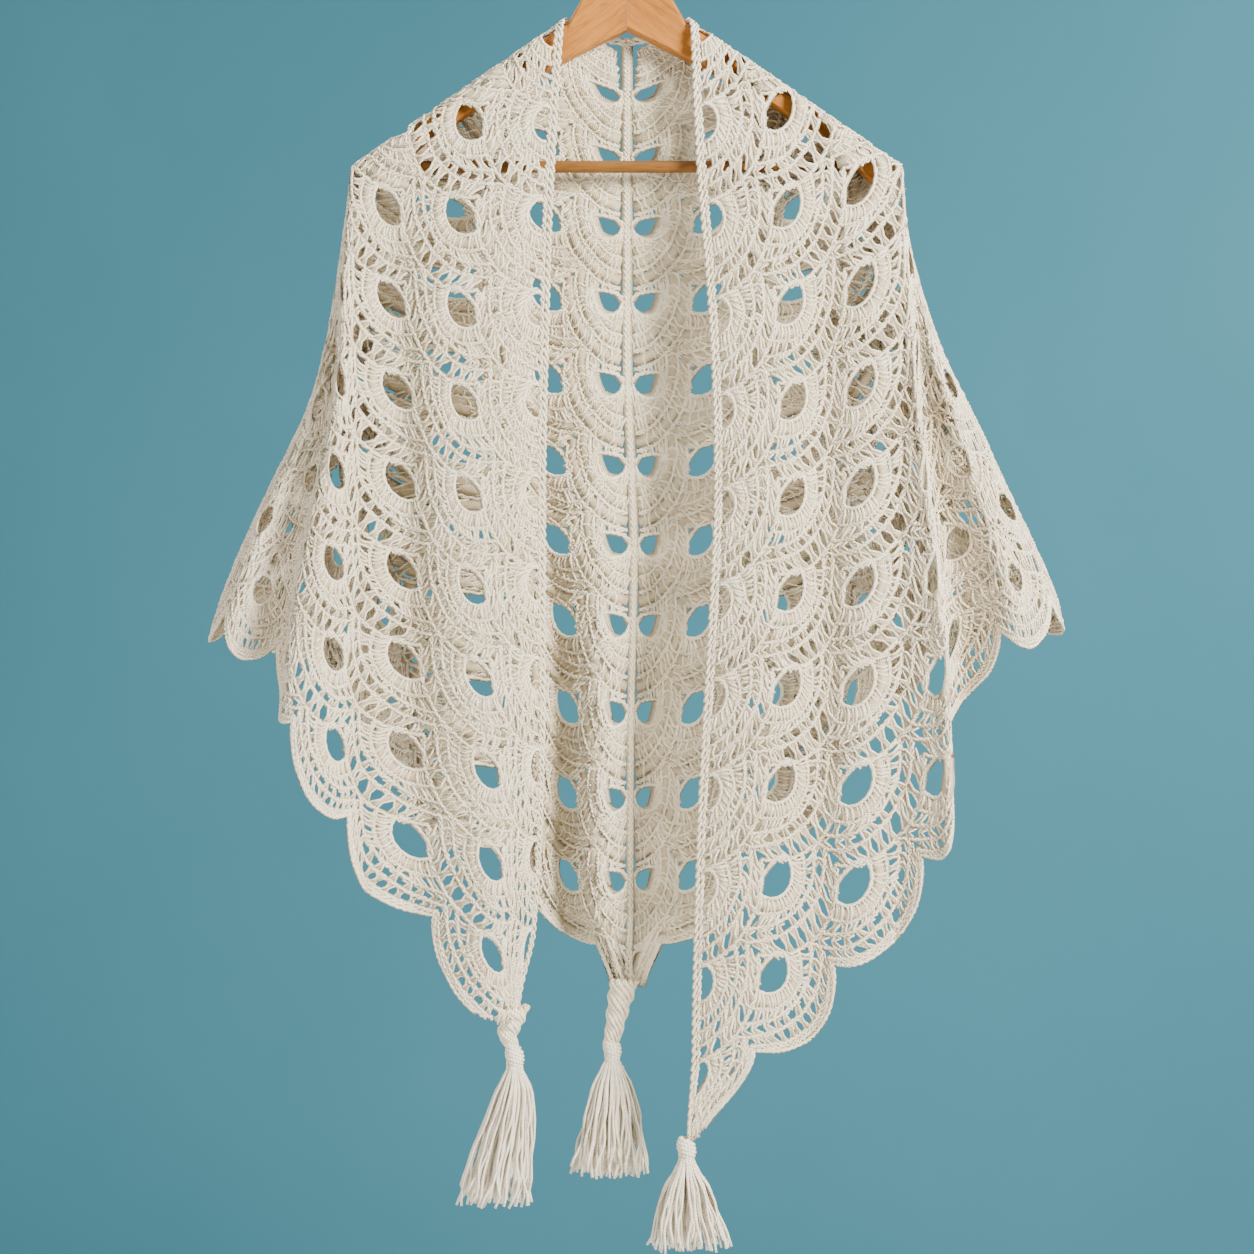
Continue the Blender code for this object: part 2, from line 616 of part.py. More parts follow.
def refined(side, loop):
    """An eye's loop with more points where it crosses the shoulder line."""
    end_t = side["end"][1]
    points = []
    for a, b in zip(loop, loop[1:] + loop[:1]):
        s, t = (a[0] + b[0]) / 2, (a[1] + b[1]) / 2
        ridge_s = float(curve_through(np.array([t]), (0.0, 1.0, 2.0, end_t), side["ridge"])[0])
        curved = t < end_t + CURVE_REACH / 2 and abs(s - ridge_s) < CURVE_REACH
        points += straight(a, b, CURVE_STEP if curved else 1.0)
    return points


def near_line(point, loops, limit):
    """Whether a flat point is closer than a limit to any loop's edges."""
    p = Vector(point)
    for loop in loops:
        for a, b in zip(loop, loop[1:] + loop[:1]):
            run = Vector(b) - Vector(a)
            u = max(0.0, min(1.0, (p - Vector(a)).dot(run) / run.length_squared))
            if (p - Vector(a) - run * u).length < limit:
                return True
    return False


def shoulder_lines(end_t):
    """Lines of flat points beside the shoulder seam, so that the wall rounds the arm."""
    t = np.arange(round(end_t / SHOULDER_STEP) + 2) * SHOULDER_STEP
    return [list(zip((t + SEAM_SHIFT + off).tolist(), t.tolist())) for off in SHOULDER_LINES]


def ray_points(side):
    """Flat points along the side's folds, on rays from the shoulder line's end."""
    end_s, end_t = side["end"]
    points = []
    for ring in range(1, round(8.5 / RAY_STEP)):
        reach = ring * RAY_STEP
        rays = side["fold"] if reach > RAYS_FULL else side["fold"][::2]
        angles = [math.radians(row[0]) for row in rays]
        points += [(end_s + reach * math.cos(a), end_t + reach * math.sin(a)) for a in angles]
    return points


def fold_points(side, outline, loops):
    """Flat points between the eyes that let the wall follow the shoulder line and the folds.

    The second list joins points along the shoulder line, by their places in the first."""
    end_s, end_t = side["end"]
    points = []
    links = []
    for line in shoulder_lines(end_t):
        before = None
        for p in line:
            if not fits(p, outline, loops, LINE_CLEAR):
                before = None
                continue
            if before and all(fits(q, outline, loops, SEAM) for q in straight(before, p, LINK_STEP)):
                links.append((len(points) - 1, len(points)))
            points.append(p)
            before = p
    low, high = SHOULDER_LINES[0] - GRID * 0.4, SHOULDER_LINES[-1] + GRID * 0.4
    count = round((HEM_FANS + 1) / GRID)
    loose = ray_points(side)
    for row in range(count):
        for column in range(count):
            s, t = (column + 0.5) * GRID, (row + 0.5 * (column % 2)) * GRID
            in_band = t < end_t + 0.2 and low < s - t - SEAM_SHIFT < high
            if (s < end_s or t < end_t) and not in_band:
                loose.append((s, t))
    points += [p for p in loose if fits(p, outline, loops, GRID * 0.34)]
    return points, links


def fits(point, outline, loops, limit):
    """Whether a flat point lies on the cloth and clear of its edges and eyes."""
    if not inside(point, outline) or any(inside(point, loop) for loop in loops):
        return False
    return not near_line(point, [outline] + loops, limit)


def cloth(name, side, outline, with_gaps):
    """One stretch of the shawl: a wall round its eyes, cut out flat and then hung."""
    loops = eyes_in(outline)
    if with_gaps:
        loops += gaps_in(outline)
    loops = [refined(side, loop) for loop in loops]
    rings = [outline] + loops
    flat = [p for ring in rings for p in ring]
    edges = []
    for ring in rings:
        first = len(edges)
        edges += [(first + k, first + (k + 1) % len(ring)) for k in range(len(ring))]
    folds, links = fold_points(side, outline, loops)
    edges += [(len(flat) + a, len(flat) + b) for a, b in links]
    flat += folds
    verts, _, faces, *_ = delaunay_2d_cdt([Vector(p) for p in flat], edges, [], 0, 1e-6)
    kept = []
    for face in faces:
        middle = tuple(sum(verts[v][axis] for v in face) / 3.0 for axis in (0, 1))
        if inside(middle, outline) and not any(inside(middle, loop) for loop in loops):
            kept.append(face)
    inner, outer = hang_wall(side, np.array([tuple(v) for v in verts]))
    count = len(verts)
    solid_faces = [tuple(f) for f in kept] + [tuple(v + count for v in reversed(f)) for f in kept]
    sides = {(f[k], f[(k + 1) % 3]) for f in kept for k in range(3)}
    for a, b in sides:
        if (b, a) not in sides:
            solid_faces.append((b, a, a + count, b + count))
    obj = add_object(name, np.concatenate([inner, outer]), solid_faces, COTTON)
    tidy_normals(obj)
    return obj


def tidy_normals(obj):
    shape = bmesh.new()
    shape.from_mesh(obj.data)
    loose = [v for v in shape.verts if not v.link_faces]
    bmesh.ops.delete(shape, geom=loose, context="VERTS")
    bmesh.ops.triangulate(shape, faces=[f for f in shape.faces if len(f.verts) > 3])
    bmesh.ops.recalc_face_normals(shape, faces=shape.faces)
    shape.to_mesh(obj.data)
    shape.free()
    obj.data.shade_smooth()


def place(x, y, drop):
    return Vector((x * MM, y * MM, -drop * MM))


def twist(name, stations):
    """A short rope of rolled cloth with two lobes that wind once on the way down."""
    drops = table_column(stations, 2)
    levels = np.linspace(drops[0], drops[-1], TWIST_RINGS)
    centre_x = curve_through(levels, drops, table_column(stations, 0))
    centre_y = curve_through(levels, drops, table_column(stations, 1))
    radius = curve_through(levels, drops, table_column(stations, 3))
    points = []
    for ring in range(TWIST_RINGS):
        turn = TWIST_TURNS * 2 * math.pi * ring / (TWIST_RINGS - 1)
        for k in range(TWIST_SIDES):
            angle = 2 * math.pi * k / TWIST_SIDES
            r = radius[ring] * (1.0 - TWIST_LOBES + TWIST_LOBES * math.cos(2 * (angle - turn)))
            points.append(place(centre_x[ring] + r * math.cos(angle),
                                centre_y[ring] + r * math.sin(angle), levels[ring]))
    last = (TWIST_RINGS - 1) * TWIST_SIDES
    faces = [tuple(range(TWIST_SIDES)), tuple(reversed(range(last, last + TWIST_SIDES)))]
    for ring in range(TWIST_RINGS - 1):
        for k in range(TWIST_SIDES):
            a, b = ring * TWIST_SIDES + k, ring * TWIST_SIDES + (k + 1) % TWIST_SIDES
            faces.append((b, a, a + TWIST_SIDES, b + TWIST_SIDES))
    obj = add_object(name, points, faces, COTTON)
    tidy_normals(obj)


def tassel(name, knot, foot, spread):
    """Knot, head and strands in one piece: each strand is drawn down out of the head's underside."""
    shape = bmesh.new()
    turns = [2 * math.pi * k / TASSEL_SIDES for k in range(TASSEL_SIDES)]
    rings = []
    for radius, down in TASSEL_PROFILE:
        points = [place(knot[0] + radius * math.cos(a), knot[1] + radius * math.sin(a), knot[2] + down)
                  for a in turns]
        rings.append([shape.verts.new(point) for point in points])
    shape.faces.new(rings[0])
    for upper, lower in zip(rings, rings[1:]):
        for k in range(TASSEL_SIDES):
            after = (k + 1) % TASSEL_SIDES
            shape.faces.new((upper[k], upper[after], lower[after], lower[k]))
    underside = shape.faces.new(reversed(rings[-1]))
    bmesh.ops.recalc_face_normals(shape, faces=shape.faces)
    root_drop = knot[2] + TASSEL_PROFILE[-1][1]
    for face in strand_roots(shape, underside, root_drop):
        lengthen(shape, face, knot, foot, spread, root_drop)
    new_object(name, shape, COTTON)


def strand_roots(shape, underside, root_drop):
    """Part the head's underside into small faces, one for each strand."""
    middle = bmesh.ops.poke(shape, faces=[underside])["verts"][0]
    bmesh.ops.subdivide_edges(shape, edges=list(middle.link_edges), cuts=STRAND_CUTS, use_grid_fill=True)
    low = place(0.0, 0.0, root_drop).z
    faces = [f for f in shape.faces if all(abs(v.co.z - low) < 1e-6 for v in f.verts)]
    split = bmesh.ops.triangulate(shape, faces=faces)
    return list(split["faces"])


def lengthen(shape, face, knot, foot, spread, root_drop):
    """Draw one strand down from its root face, spreading and thinning towards its end."""
    bmesh.ops.inset_individual(shape, faces=[face], thickness=STRAND_GAP * MM)
    root = face.calc_center_median()
    offset = Vector((root.x / MM - knot[0], root.y / MM - knot[1]))
    reach = offset.length / TASSEL_SHOULDER
    uneven = STRAND_UNEVEN * math.sin(offset.x * 1.9 + offset.y * 2.7)
    length = foot[2] - root_drop - uneven - STRAND_UNEVEN
    for share in STRAND_STATIONS:
        grown_face = bmesh.ops.extrude_discrete_faces(shape, faces=[face])["faces"][0]
        centre = grown_face.calc_center_median()
        widen = 1.0 + (spread / TASSEL_SHOULDER - 1.0) * share ** 0.8
        lean = share ** 1.2
        target = place(knot[0] + offset.x * widen + (foot[0] - knot[0]) * lean,
                       knot[1] + offset.y * widen * 0.8 + (foot[1] - knot[1]) * lean,
                       root_drop + length * share * (1.0 - 0.03 * reach))
        for v in grown_face.verts:
            v.co = target + (v.co - centre) * (1.0 if share < 1.0 else 0.8)
        face = grown_face


def new_object(name, shape, kind):
    mesh = bpy.data.meshes.new(name)
    bmesh.ops.triangulate(shape, faces=shape.faces)
    shape.to_mesh(mesh)
    shape.free()
    mesh.materials.append(material(kind))
    obj = bpy.data.objects.new(name, mesh)
    bpy.context.scene.collection.objects.link(obj)
    return obj


def rod(name, start, end, radius, kind, sides):
    """A straight round rod between two points."""
    shape = bmesh.new()
    run = end - start
    turn = run.to_track_quat("Z", "Y").to_matrix().to_4x4()
    where = Matrix.Translation((start + end) / 2) @ turn
    bmesh.ops.create_cone(shape, cap_ends=True, segments=sides, radius1=radius * MM, radius2=radius * MM,
                          depth=run.length, matrix=where)
    return new_object(name, shape, kind)


def cutter(name, start, end, radius):
    """A round hole's shape, which is not part of the object."""
    shape = rod(name, start, end, radius, WOOD, 16)
    shape.hide_render = True
    shape.display_type = "WIRE"
    return shape


def arm_section(shape, outward, top, under, rounding):
    """One closed section across an arm: round along its top edges, chamfered underneath."""
    corners = []
    for k in range(4):
        turn = math.radians(30.0 * k)
        inset, drop = rounding * (1.0 - math.cos(turn)), rounding * (1.0 - math.sin(turn))
        corners.append((ARM_HALF - inset, top + drop))
    low = ((ARM_HALF - ARM_CHAMFER, under), (ARM_HALF, under - ARM_CHAMFER))
    back = list(low) + corners
    front = [(-y, drop) for y, drop in reversed(back)]
    return [shape.verts.new(place(outward, y, drop)) for y, drop in back + front]


def arm(name, sign, holes):
    """A flat wooden arm, rounded along its top, from the mitre to the shoulder end."""
    shape = bmesh.new()
    rings = [arm_section(shape, sign * row[0], *row[1:]) for row in ARM_SECTIONS]
    shape.faces.new(rings[0])
    shape.faces.new(rings[-1])
    for near, far in zip(rings, rings[1:]):
        for k in range(len(near)):
            after = (k + 1) % len(near)
            shape.faces.new((near[k], near[after], far[after], far[k]))
    bmesh.ops.recalc_face_normals(shape, faces=shape.faces)
    obj = new_object(name, shape, WOOD)
    for hole in holes:
        cut = obj.modifiers.new(hole.name, "BOOLEAN")
        cut.operation = "DIFFERENCE"
        cut.solver = "EXACT"
        cut.object = hole
    obj.data.shade_smooth()
    obj.data.set_sharp_from_angle(angle=math.radians(35))


def hook():
    """Bent wire: round at the top, then in to an upright shaft."""
    ring = HOOK_INNER + HOOK_WIRE
    round_steps, turn_steps = HOOK_STEPS
    sweep = HOOK_TURN_IN - HOOK_OPEN
    angles = [math.radians(HOOK_OPEN + sweep * k / round_steps) for k in range(round_steps + 1)]
    points = [place(ring * math.cos(a), 0.0, HOOK_INNER - ring * math.sin(a)) for a in angles]
    turn, down = points[-1], place(0.0, 0.0, HOOK_SHAFT[0])
    corner = place(1.0, 0.0, HOOK_SHAFT[0] - 8.0)
    for k in range(1, turn_steps + 1):
        u = k / turn_steps
        points.append(turn * (1 - u) ** 2 + corner * 2 * u * (1 - u) + down * u * u)
    points.append(place(0.0, 0.0, HOOK_SHAFT[1]))
    line = bpy.data.curves.new("hanger_hook", "CURVE")
    line.dimensions = "3D"
    line.bevel_depth = HOOK_WIRE * MM
    line.bevel_resolution = 2
    line.use_fill_caps = True
    spline = line.splines.new("POLY")
    spline.points.add(len(points) - 1)
    for knot, point in zip(spline.points, points):
        knot.co = (*point, 1.0)
    line.materials.append(material(METAL))
    bpy.context.scene.collection.objects.link(bpy.data.objects.new("hanger_hook", line))


def collar():
    """A ring on the wood, round the hook's shaft."""
    inner, outer, height = COLLAR
    low = ARM_SECTIONS[0][1] - FIT
    high = low - height
    shape = bmesh.new()
    corners = ((inner, low), (outer, low), (outer, high), (inner, high))
    verts = [shape.verts.new(place(radius, 0.0, drop)) for radius, drop in corners]
    edges = [shape.edges.new((verts[k], verts[(k + 1) % 4])) for k in range(4)]
    bmesh.ops.spin(shape, geom=verts + edges, cent=(0.0, 0.0, 0.0), axis=(0.0, 0.0, 1.0),
                   angle=2 * math.pi, steps=16)
    bmesh.ops.remove_doubles(shape, verts=shape.verts, dist=0.01 * MM)
    bmesh.ops.recalc_face_normals(shape, faces=shape.faces)
    new_object("hanger_collar", shape, METAL)


def build():
    clear_scene()
    ends = [place(x * BAR_END, 0.0, BAR_DROP) for x in (-1, 1)]
    reach = [place(x * (BAR_END + FIT), 0.0, BAR_DROP) for x in (-1, 1)]
    rod("hanger_bar", ends[0], ends[1], BAR_RADIUS, WOOD, 20)
    holes = [cutter("bar_hole", reach[0], reach[1], BAR_RADIUS + FIT),
             cutter("shaft_hole", place(0, 0, 50), place(0, 0, HOOK_SHAFT[1] + FIT), HOOK_WIRE + FIT)]
    hook()
    collar()
    for word, side in (("right", RIGHT), ("left", LEFT)):
        cloth("shawl_front_" + word, side, front_outline(CORNERS["front_" + word]), True)
        cloth("shawl_side_" + word, side, side_outline(), False)
        cloth("shawl_back_" + word, side, back_outline(CORNERS["back"]), False)
        arm("hanger_arm_" + word, side["sign"], holes)
    for name, stations in TWISTS.items():
        twist(name, stations)
    for name, sizes in TASSELS.items():
        tassel(name, sizes["knot"], sizes["foot"], sizes["spread"])


build()
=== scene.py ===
import math

import bpy
import numpy as np
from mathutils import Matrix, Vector


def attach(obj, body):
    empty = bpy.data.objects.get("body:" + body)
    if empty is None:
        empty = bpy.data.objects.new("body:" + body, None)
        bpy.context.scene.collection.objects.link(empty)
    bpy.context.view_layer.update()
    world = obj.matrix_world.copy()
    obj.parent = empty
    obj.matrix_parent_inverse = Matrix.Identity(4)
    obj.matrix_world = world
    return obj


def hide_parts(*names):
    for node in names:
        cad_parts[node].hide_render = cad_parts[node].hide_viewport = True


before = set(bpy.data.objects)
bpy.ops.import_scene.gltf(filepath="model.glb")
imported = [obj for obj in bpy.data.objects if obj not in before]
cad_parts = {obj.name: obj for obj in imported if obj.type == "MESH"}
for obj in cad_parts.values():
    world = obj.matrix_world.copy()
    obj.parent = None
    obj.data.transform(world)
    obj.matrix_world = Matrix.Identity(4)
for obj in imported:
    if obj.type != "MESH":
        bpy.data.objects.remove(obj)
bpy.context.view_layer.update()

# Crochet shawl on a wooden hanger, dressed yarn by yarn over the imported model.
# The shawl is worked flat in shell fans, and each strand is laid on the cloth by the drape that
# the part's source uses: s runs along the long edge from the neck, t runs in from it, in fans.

MM = 0.001

# Lace: sizes of one shell fan
FAN = 70.0  # side of a fan's cell in the flat cloth, mm
FAN_RADIUS = 0.83  # scallop at the hem, in fans
VALLEY_ANGLE = 58.4  # where two scallops meet, degrees from the fan's axis
EDGE_ANGLE = 38.8  # where a scallop meets the border or the spine
HEM_FANS = 12  # a fan at (i, j) lies on the hem where i + j is this
NORMAL_STEP = 0.1  # the cloth's direction is taken over this distance, in fans
SEAM_SHIFT = 0.5  # front and back meet at s = t + this, close to the shoulder line
SEAM = 2.5  # front and back end between their fan rows 2 and 3

# Drape: the shoulder line and the half-round over an arm
NECK_DROP = 103.3  # cloth on the shoulder line, next to the neck, mm
END_DROP = 223.0  # cloth at the shoulder line's end
NECK_X = 50.8
END_X = 225.2
WRAP_RADIUS = 15.6  # half-round of the cloth over an arm

# How each half hangs. Lengths are mm, s and t are in fans, outward is away from the middle.
# ridge: s on the shoulder line for t = 0, 1, 2, and at its end, where (s, t) is end.
# front: (drop, outward at t = 0, 1, 2, end). back: (drop, outward at s = 0, 1, 2, end).
# stretch: mm of drop for each fan down the front, at t = 0, 1, 2, end.
# swell: (column, forward at drop 250, 480, 700, 950) for the front's soft folds.
# furrow: (column, backward at drop 250, 480, 700, 950) for the back's folds.
RIGHT = {
    "sign": 1,
    "end": (2.85, 2.55),
    "ridge": (0.78, 1.52, 2.38, 2.85),
    "stretch": (77.7, 77.6, 80.9, 81.4),
    "front": (
        (103, 50.4, 116, 180, 214), (250, 57.8, 128.5, 188.5, 223.5), (335, 65.3, 131.5, 189, 225),
        (435, 70.2, 134.5, 188.5, 225.5), (500, 70.8, 133.5, 188, 225.5),
        (615, 65.3, 131, 187, 225.5), (750, 57.8, 123, 184.5, 224), (880, 53.7, 118, 181, 222),
        (1016, 52, 114, 178, 220),
    ),
    "back": (
        (116, 0, 69, 146, 222), (300, 0, 65.5, 141, 222), (400, 0.5, 63.6, 134, 215),
        (471, 3.5, 60.8, 128, 206), (536, 6, 60.3, 122, 198), (600, 5.2, 58.5, 117, 190),
        (676, 3.5, 54, 112, 182), (760, 3, 52, 108, 175), (960, 3, 50, 100, 168),
    ),
    "swell": (
        (0, 4, 8, 10, 10), (0.5, 8, 16, 20, 20), (1, 7, 14, 19, 20), (1.55, 2, 3, 4, 6),
        (2.05, 7, 14, 18, 18), (2.55, 5, 10, 14, 14),
    ),
    "furrow": (
        (0, 5, 12, 16, 18), (0.24, 5, 18, 30, 34), (0.6, 6, 23, 38, 42), (1, 6, 18, 32, 36),
        (1.5, 4, 8, 14, 16), (2.1, 7, 22, 34, 38), (2.55, 4, 12, 20, 22), (2.85, 4, 10, 16, 18),
    ),
    # fold: (degrees round the shoulder's end, outward, forward), as slopes of the hanging cloth
    "fold": (
        (0, 0, 0), (4, 0.055, 0.03), (7.5, 0.08, 0.045), (11, 0.09, 0), (14.5, 0.1, -0.045),
        (18, 0.13, -0.055), (22, 0.185, -0.02), (27, 0.24, 0.035), (33, 0.285, 0.04),
        (40, 0.345, -0.005), (45.5, 0.37, -0.07), (51, 0.335, -0.13), (58, 0.245, -0.15),
        (65, 0.17, -0.095), (71, 0.135, -0.055), (77, 0.105, -0.085), (83, 0.055, -0.095),
        (90, 0, 0),
    ),
    # flare: (fans from the shoulder's end, share of the outward slope reached there)
    "flare": ((0, 0.15), (0.76, 0.22), (1.5, 0.43), (2.17, 0.6), (3, 0.82), (3.75, 0.91),
              (4.5, 0.98), (5.1, 1), (5.8, 0.95)),
}

LEFT = {
    "sign": -1,
    "end": (2.5, 2.5),
    "ridge": (0.72, 1.39, 2.09, 2.5),
    "stretch": (74.3, 74.8, 73.2, 73),
    "front": (
        (103, 51.2, 120, 186, 219), (250, 59.5, 134.5, 196.5, 224.5),
        (335, 62.5, 134.5, 192, 223.5), (409, 64.5, 132.8, 186, 221.5),
        (500, 66.1, 128, 183.2, 219), (600, 66.1, 123.5, 181.2, 218),
        (700, 67, 113.6, 179.4, 217.5), (800, 71, 108.8, 174.5, 214), (900, 79.5, 109, 168, 210),
        (1016, 90, 112, 164, 206),
    ),
    "back": (
        (116, 0, 70, 156, 222), (300, 0, 66, 146, 221), (400, -0.5, 64.3, 138, 213),
        (471, -3.5, 61.5, 130, 204), (536, -6, 57.5, 121, 195), (600, -5.2, 51.5, 114, 187),
        (676, -3.5, 48.7, 108, 180), (760, -3, 49.6, 104, 173), (960, -3, 42, 98, 166),
    ),
    "swell": (
        (0, 5, 8, 4, -16), (0.5, 9, 17, 19, 8), (1, 9, 18, 24, 22), (1.6, 6, 12, 14, 14),
        (2, 1, 0, 2, 6), (2.5, 6, 12, 16, 16),
    ),
    "furrow": (
        (0, 5, 12, 16, 18), (0.18, 5, 9, 9, 10), (0.5, 5, 6, 2, 2), (0.85, 6, 11, 14, 15),
        (1.2, 8, 20, 32, 36), (1.6, 4, 12, 24, 28), (2.1, 6, 22, 36, 40), (2.5, 4, 12, 18, 20),
    ),
    "fold": (
        (0, 0, 0), (5, 0.045, 0.03), (10, 0.1, 0.055), (14, 0.143, 0.04), (17, 0.152, 0),
        (20, 0.16, -0.04), (24, 0.185, -0.052), (29, 0.235, -0.02), (35, 0.285, 0.005),
        (41, 0.325, -0.03), (46, 0.335, -0.085), (52, 0.295, -0.14), (59, 0.215, -0.15),
        (66, 0.155, -0.095), (72, 0.125, -0.055), (78, 0.095, -0.085), (84, 0.05, -0.09),
        (90, 0, 0),
    ),
    "flare": ((0, 0.3), (0.4, 0.36), (1.25, 0.43), (2.2, 0.52), (3.1, 0.68), (3.75, 0.84),
              (4.6, 0.96), (5.5, 1), (6.2, 0.97)),
}

# Drop of the back's rows t = 0, 1, 2 and on, down the spine
BACK_ROWS = (115.6, 163.5, 214.8, 272.0, 334.5, 402.0, 470.0, 536.0, 603.0, 676.0, 748.0, 817.0,
             886.0, 954.0)
FOLD_DROPS = (250.0, 480.0, 700.0, 950.0)  # drops that swell and furrow are given at
BACK_LIFT = 15.0  # how much higher the back's rows hang at the side than on the spine
BACK_EVENS_OUT = 3.5  # fans from the shoulder line where the rows hang at their own drop
BACK_STRETCH = 58.0  # mm of drop for each fan just below the shoulder line
WRAP_FADES = 130.0  # below this drop the round over the arm no longer shortens the cloth
SHOULDER_FADES = 60.0  # drop over which the cloth leaves the shoulder line's shape
SWELL_WHOLE = 140.0  # drop below the shoulder line where the front's folds are whole
FURROW_WHOLE = 120.0  # the same for the back's
FOLD_STARTS = 0.7  # the side's folds grow between these distances from its end, in fans
FOLD_WHOLE = 2.9
SIDE_SLOPE = 0.37  # outward slope of the side before its folds begin
# Degrees at which the side leaves the front's line, and how many more it takes
SIDE_TURNS_BACK = (42.0, 48.0)
# Shares of the back's shorter drop: (share, first degree, degrees that it takes)
SIDE_SHORTENS = ((0.75, 4.0, 17.0), (0.25, 50.0, 40.0))
WHOLE_PULL = 0.35  # this near to its edge, in fans, a corner is wholly drawn together
NECK_RISE = 12.3  # the neck edge climbs this much from the spine to the shoulder line

# Corners that run together into a knot or a twist
CORNERS = {
    "front_right": {"cut": 12.62, "reach": 0.9, "keep": 0.30, "x": 49.0, "y": -26.5, "span": 1.1},
    "front_left": {"cut": 11.75, "reach": 0.9, "keep": 0.26, "x": 92.0, "y": -12.0, "span": 1.3},
    "back": {"cut": 12.30, "reach": 1.0, "keep": 0.20, "x": 2.0, "y": 35.0, "span": 1.6},
}


def soft_step(x):
    x = np.clip(x, 0.0, 1.0)
    return x * x * (3.0 - 2.0 * x)


def curve_through(x, knots, values):
    """Smooth curve through a table's rows, straight beyond its ends."""
    knots = np.asarray(knots, float)
    values = np.asarray(values, float)
    x = np.asarray(x, float)
    slopes = np.gradient(values, knots, axis=0)
    flat = x.ravel()
    row = np.clip(np.searchsorted(knots, flat) - 1, 0, len(knots) - 2)
    each = np.arange(flat.size)
    if values.ndim == 1:
        values, slopes, each = values[:, None], slopes[:, None], 0
    width = knots[row + 1] - knots[row]
    u = (flat - knots[row]) / width
    c = np.clip(u, 0.0, 1.0)
    start, end = values[row, each], values[row + 1, each]
    rise, fall = slopes[row, each] * width, slopes[row + 1, each] * width
    y = start * (2 * c**3 - 3 * c**2 + 1) + end * (3 * c**2 - 2 * c**3)
    y += rise * (c**3 - 2 * c**2 + c) + fall * (c**3 - c**2)
    y += np.where(u < 0, u * rise, 0.0) + np.where(u > 1, (u - 1) * fall, 0.0)
    return y.reshape(x.shape)


def table_column(rows, column):
    return [row[column] for row in rows]


def across(x, knots, rows, drop):
    """Read a table whose rows are drops and whose columns are lines of the cloth."""
    drops = table_column(rows, 0)
    lines = [curve_through(drop, drops, table_column(rows, c + 1)) for c in range(len(knots))]
    return curve_through(x, knots, np.array(lines))


def relief(x, rows, drop):
    """Depth of the soft folds: rows are lines of the cloth, columns are drops."""
    knots = table_column(rows, 0)
    lines = [curve_through(drop, FOLD_DROPS, row[1:]) for row in rows]
    return curve_through(x, knots, np.array(lines))


def over_arm(d):
    """The half-round over an arm: depth gained, and how much less it drops than it runs."""
    turn = np.clip(d / WRAP_RADIUS, 0.0, math.pi / 2)
    depth = WRAP_RADIUS * np.sin(turn)
    lift = turn * WRAP_RADIUS - WRAP_RADIUS * (1.0 - np.cos(turn))
    return depth, lift / (1.0 + (d / WRAP_FADES) ** 2)


def on_shoulder(share):
    """Drop and distance from the middle, at a share of the shoulder line."""
    return NECK_DROP + (END_DROP - NECK_DROP) * share, NECK_X + (END_X - NECK_X) * share


def hang_front(side, s, t):
    end_t = side["end"][1]
    lines = (0.0, 1.0, 2.0, end_t)
    start = curve_through(t, lines, side["ridge"])
    stretch = curve_through(t, lines, side["stretch"])
    d = np.maximum(s - start, 0.0) * stretch
    ridge_drop, ridge_x = on_shoulder(t / end_t)
    drop = ridge_drop + d
    x = across(t, lines, side["front"], drop)
    near = np.exp(-((d / SHOULDER_FADES) ** 2))
    x += (ridge_x - across(t, lines, side["front"], ridge_drop)) * near
    depth, lift = over_arm(d)
    swell = relief(t, side["swell"], drop) * soft_step(d / SWELL_WHOLE)
    return x, -(depth + swell), drop - lift


def ridge_of_back(side, s):
    """t on the shoulder line for each column s of the back."""
    lines = (0.0, 1.0, 2.0, side["end"][1])
    t = np.linspace(-2.0, side["end"][1], 200)
    return np.interp(s, curve_through(t, lines, side["ridge"]), t)


def hang_back(side, s, t):
    end_s, end_t = side["end"]
    lines = (0.0, 1.0, 2.0, end_s)
    rows = np.arange(len(BACK_ROWS))
    start = ridge_of_back(side, s)
    ridge_drop = on_shoulder(start / end_t)[0]
    ridge_x = on_shoulder(np.maximum(start / end_t, 0.0))[1]
    from_t = np.maximum(start, 0.0)
    neck = np.clip(s / side["ridge"][0], 0.0, 1.0) ** 2
    past_neck = ridge_drop - curve_through(from_t, rows, BACK_ROWS)
    top_shift = np.where(start < 0.0, -NECK_RISE * neck, past_neck)
    low_shift = -BACK_LIFT * soft_step(s / end_s)
    ramp = soft_step((t - from_t) / BACK_EVENS_OUT)
    drop = curve_through(t, rows, BACK_ROWS) + top_shift * (1.0 - ramp) + low_shift * ramp
    d = np.maximum(t - start, 0.0) * BACK_STRETCH
    x = across(s, lines, side["back"], drop)
    near = np.exp(-((d / SHOULDER_FADES) ** 2)) * soft_step(s / side["ridge"][0])
    x += (ridge_x - across(s, lines, side["back"], np.maximum(ridge_drop, NECK_DROP))) * near
    depth, lift = over_arm(d)
    furrow = relief(s, side["furrow"], drop) * soft_step(d / FURROW_WHOLE)
    return x, depth + furrow, drop - lift * soft_step(s / side["ridge"][0])


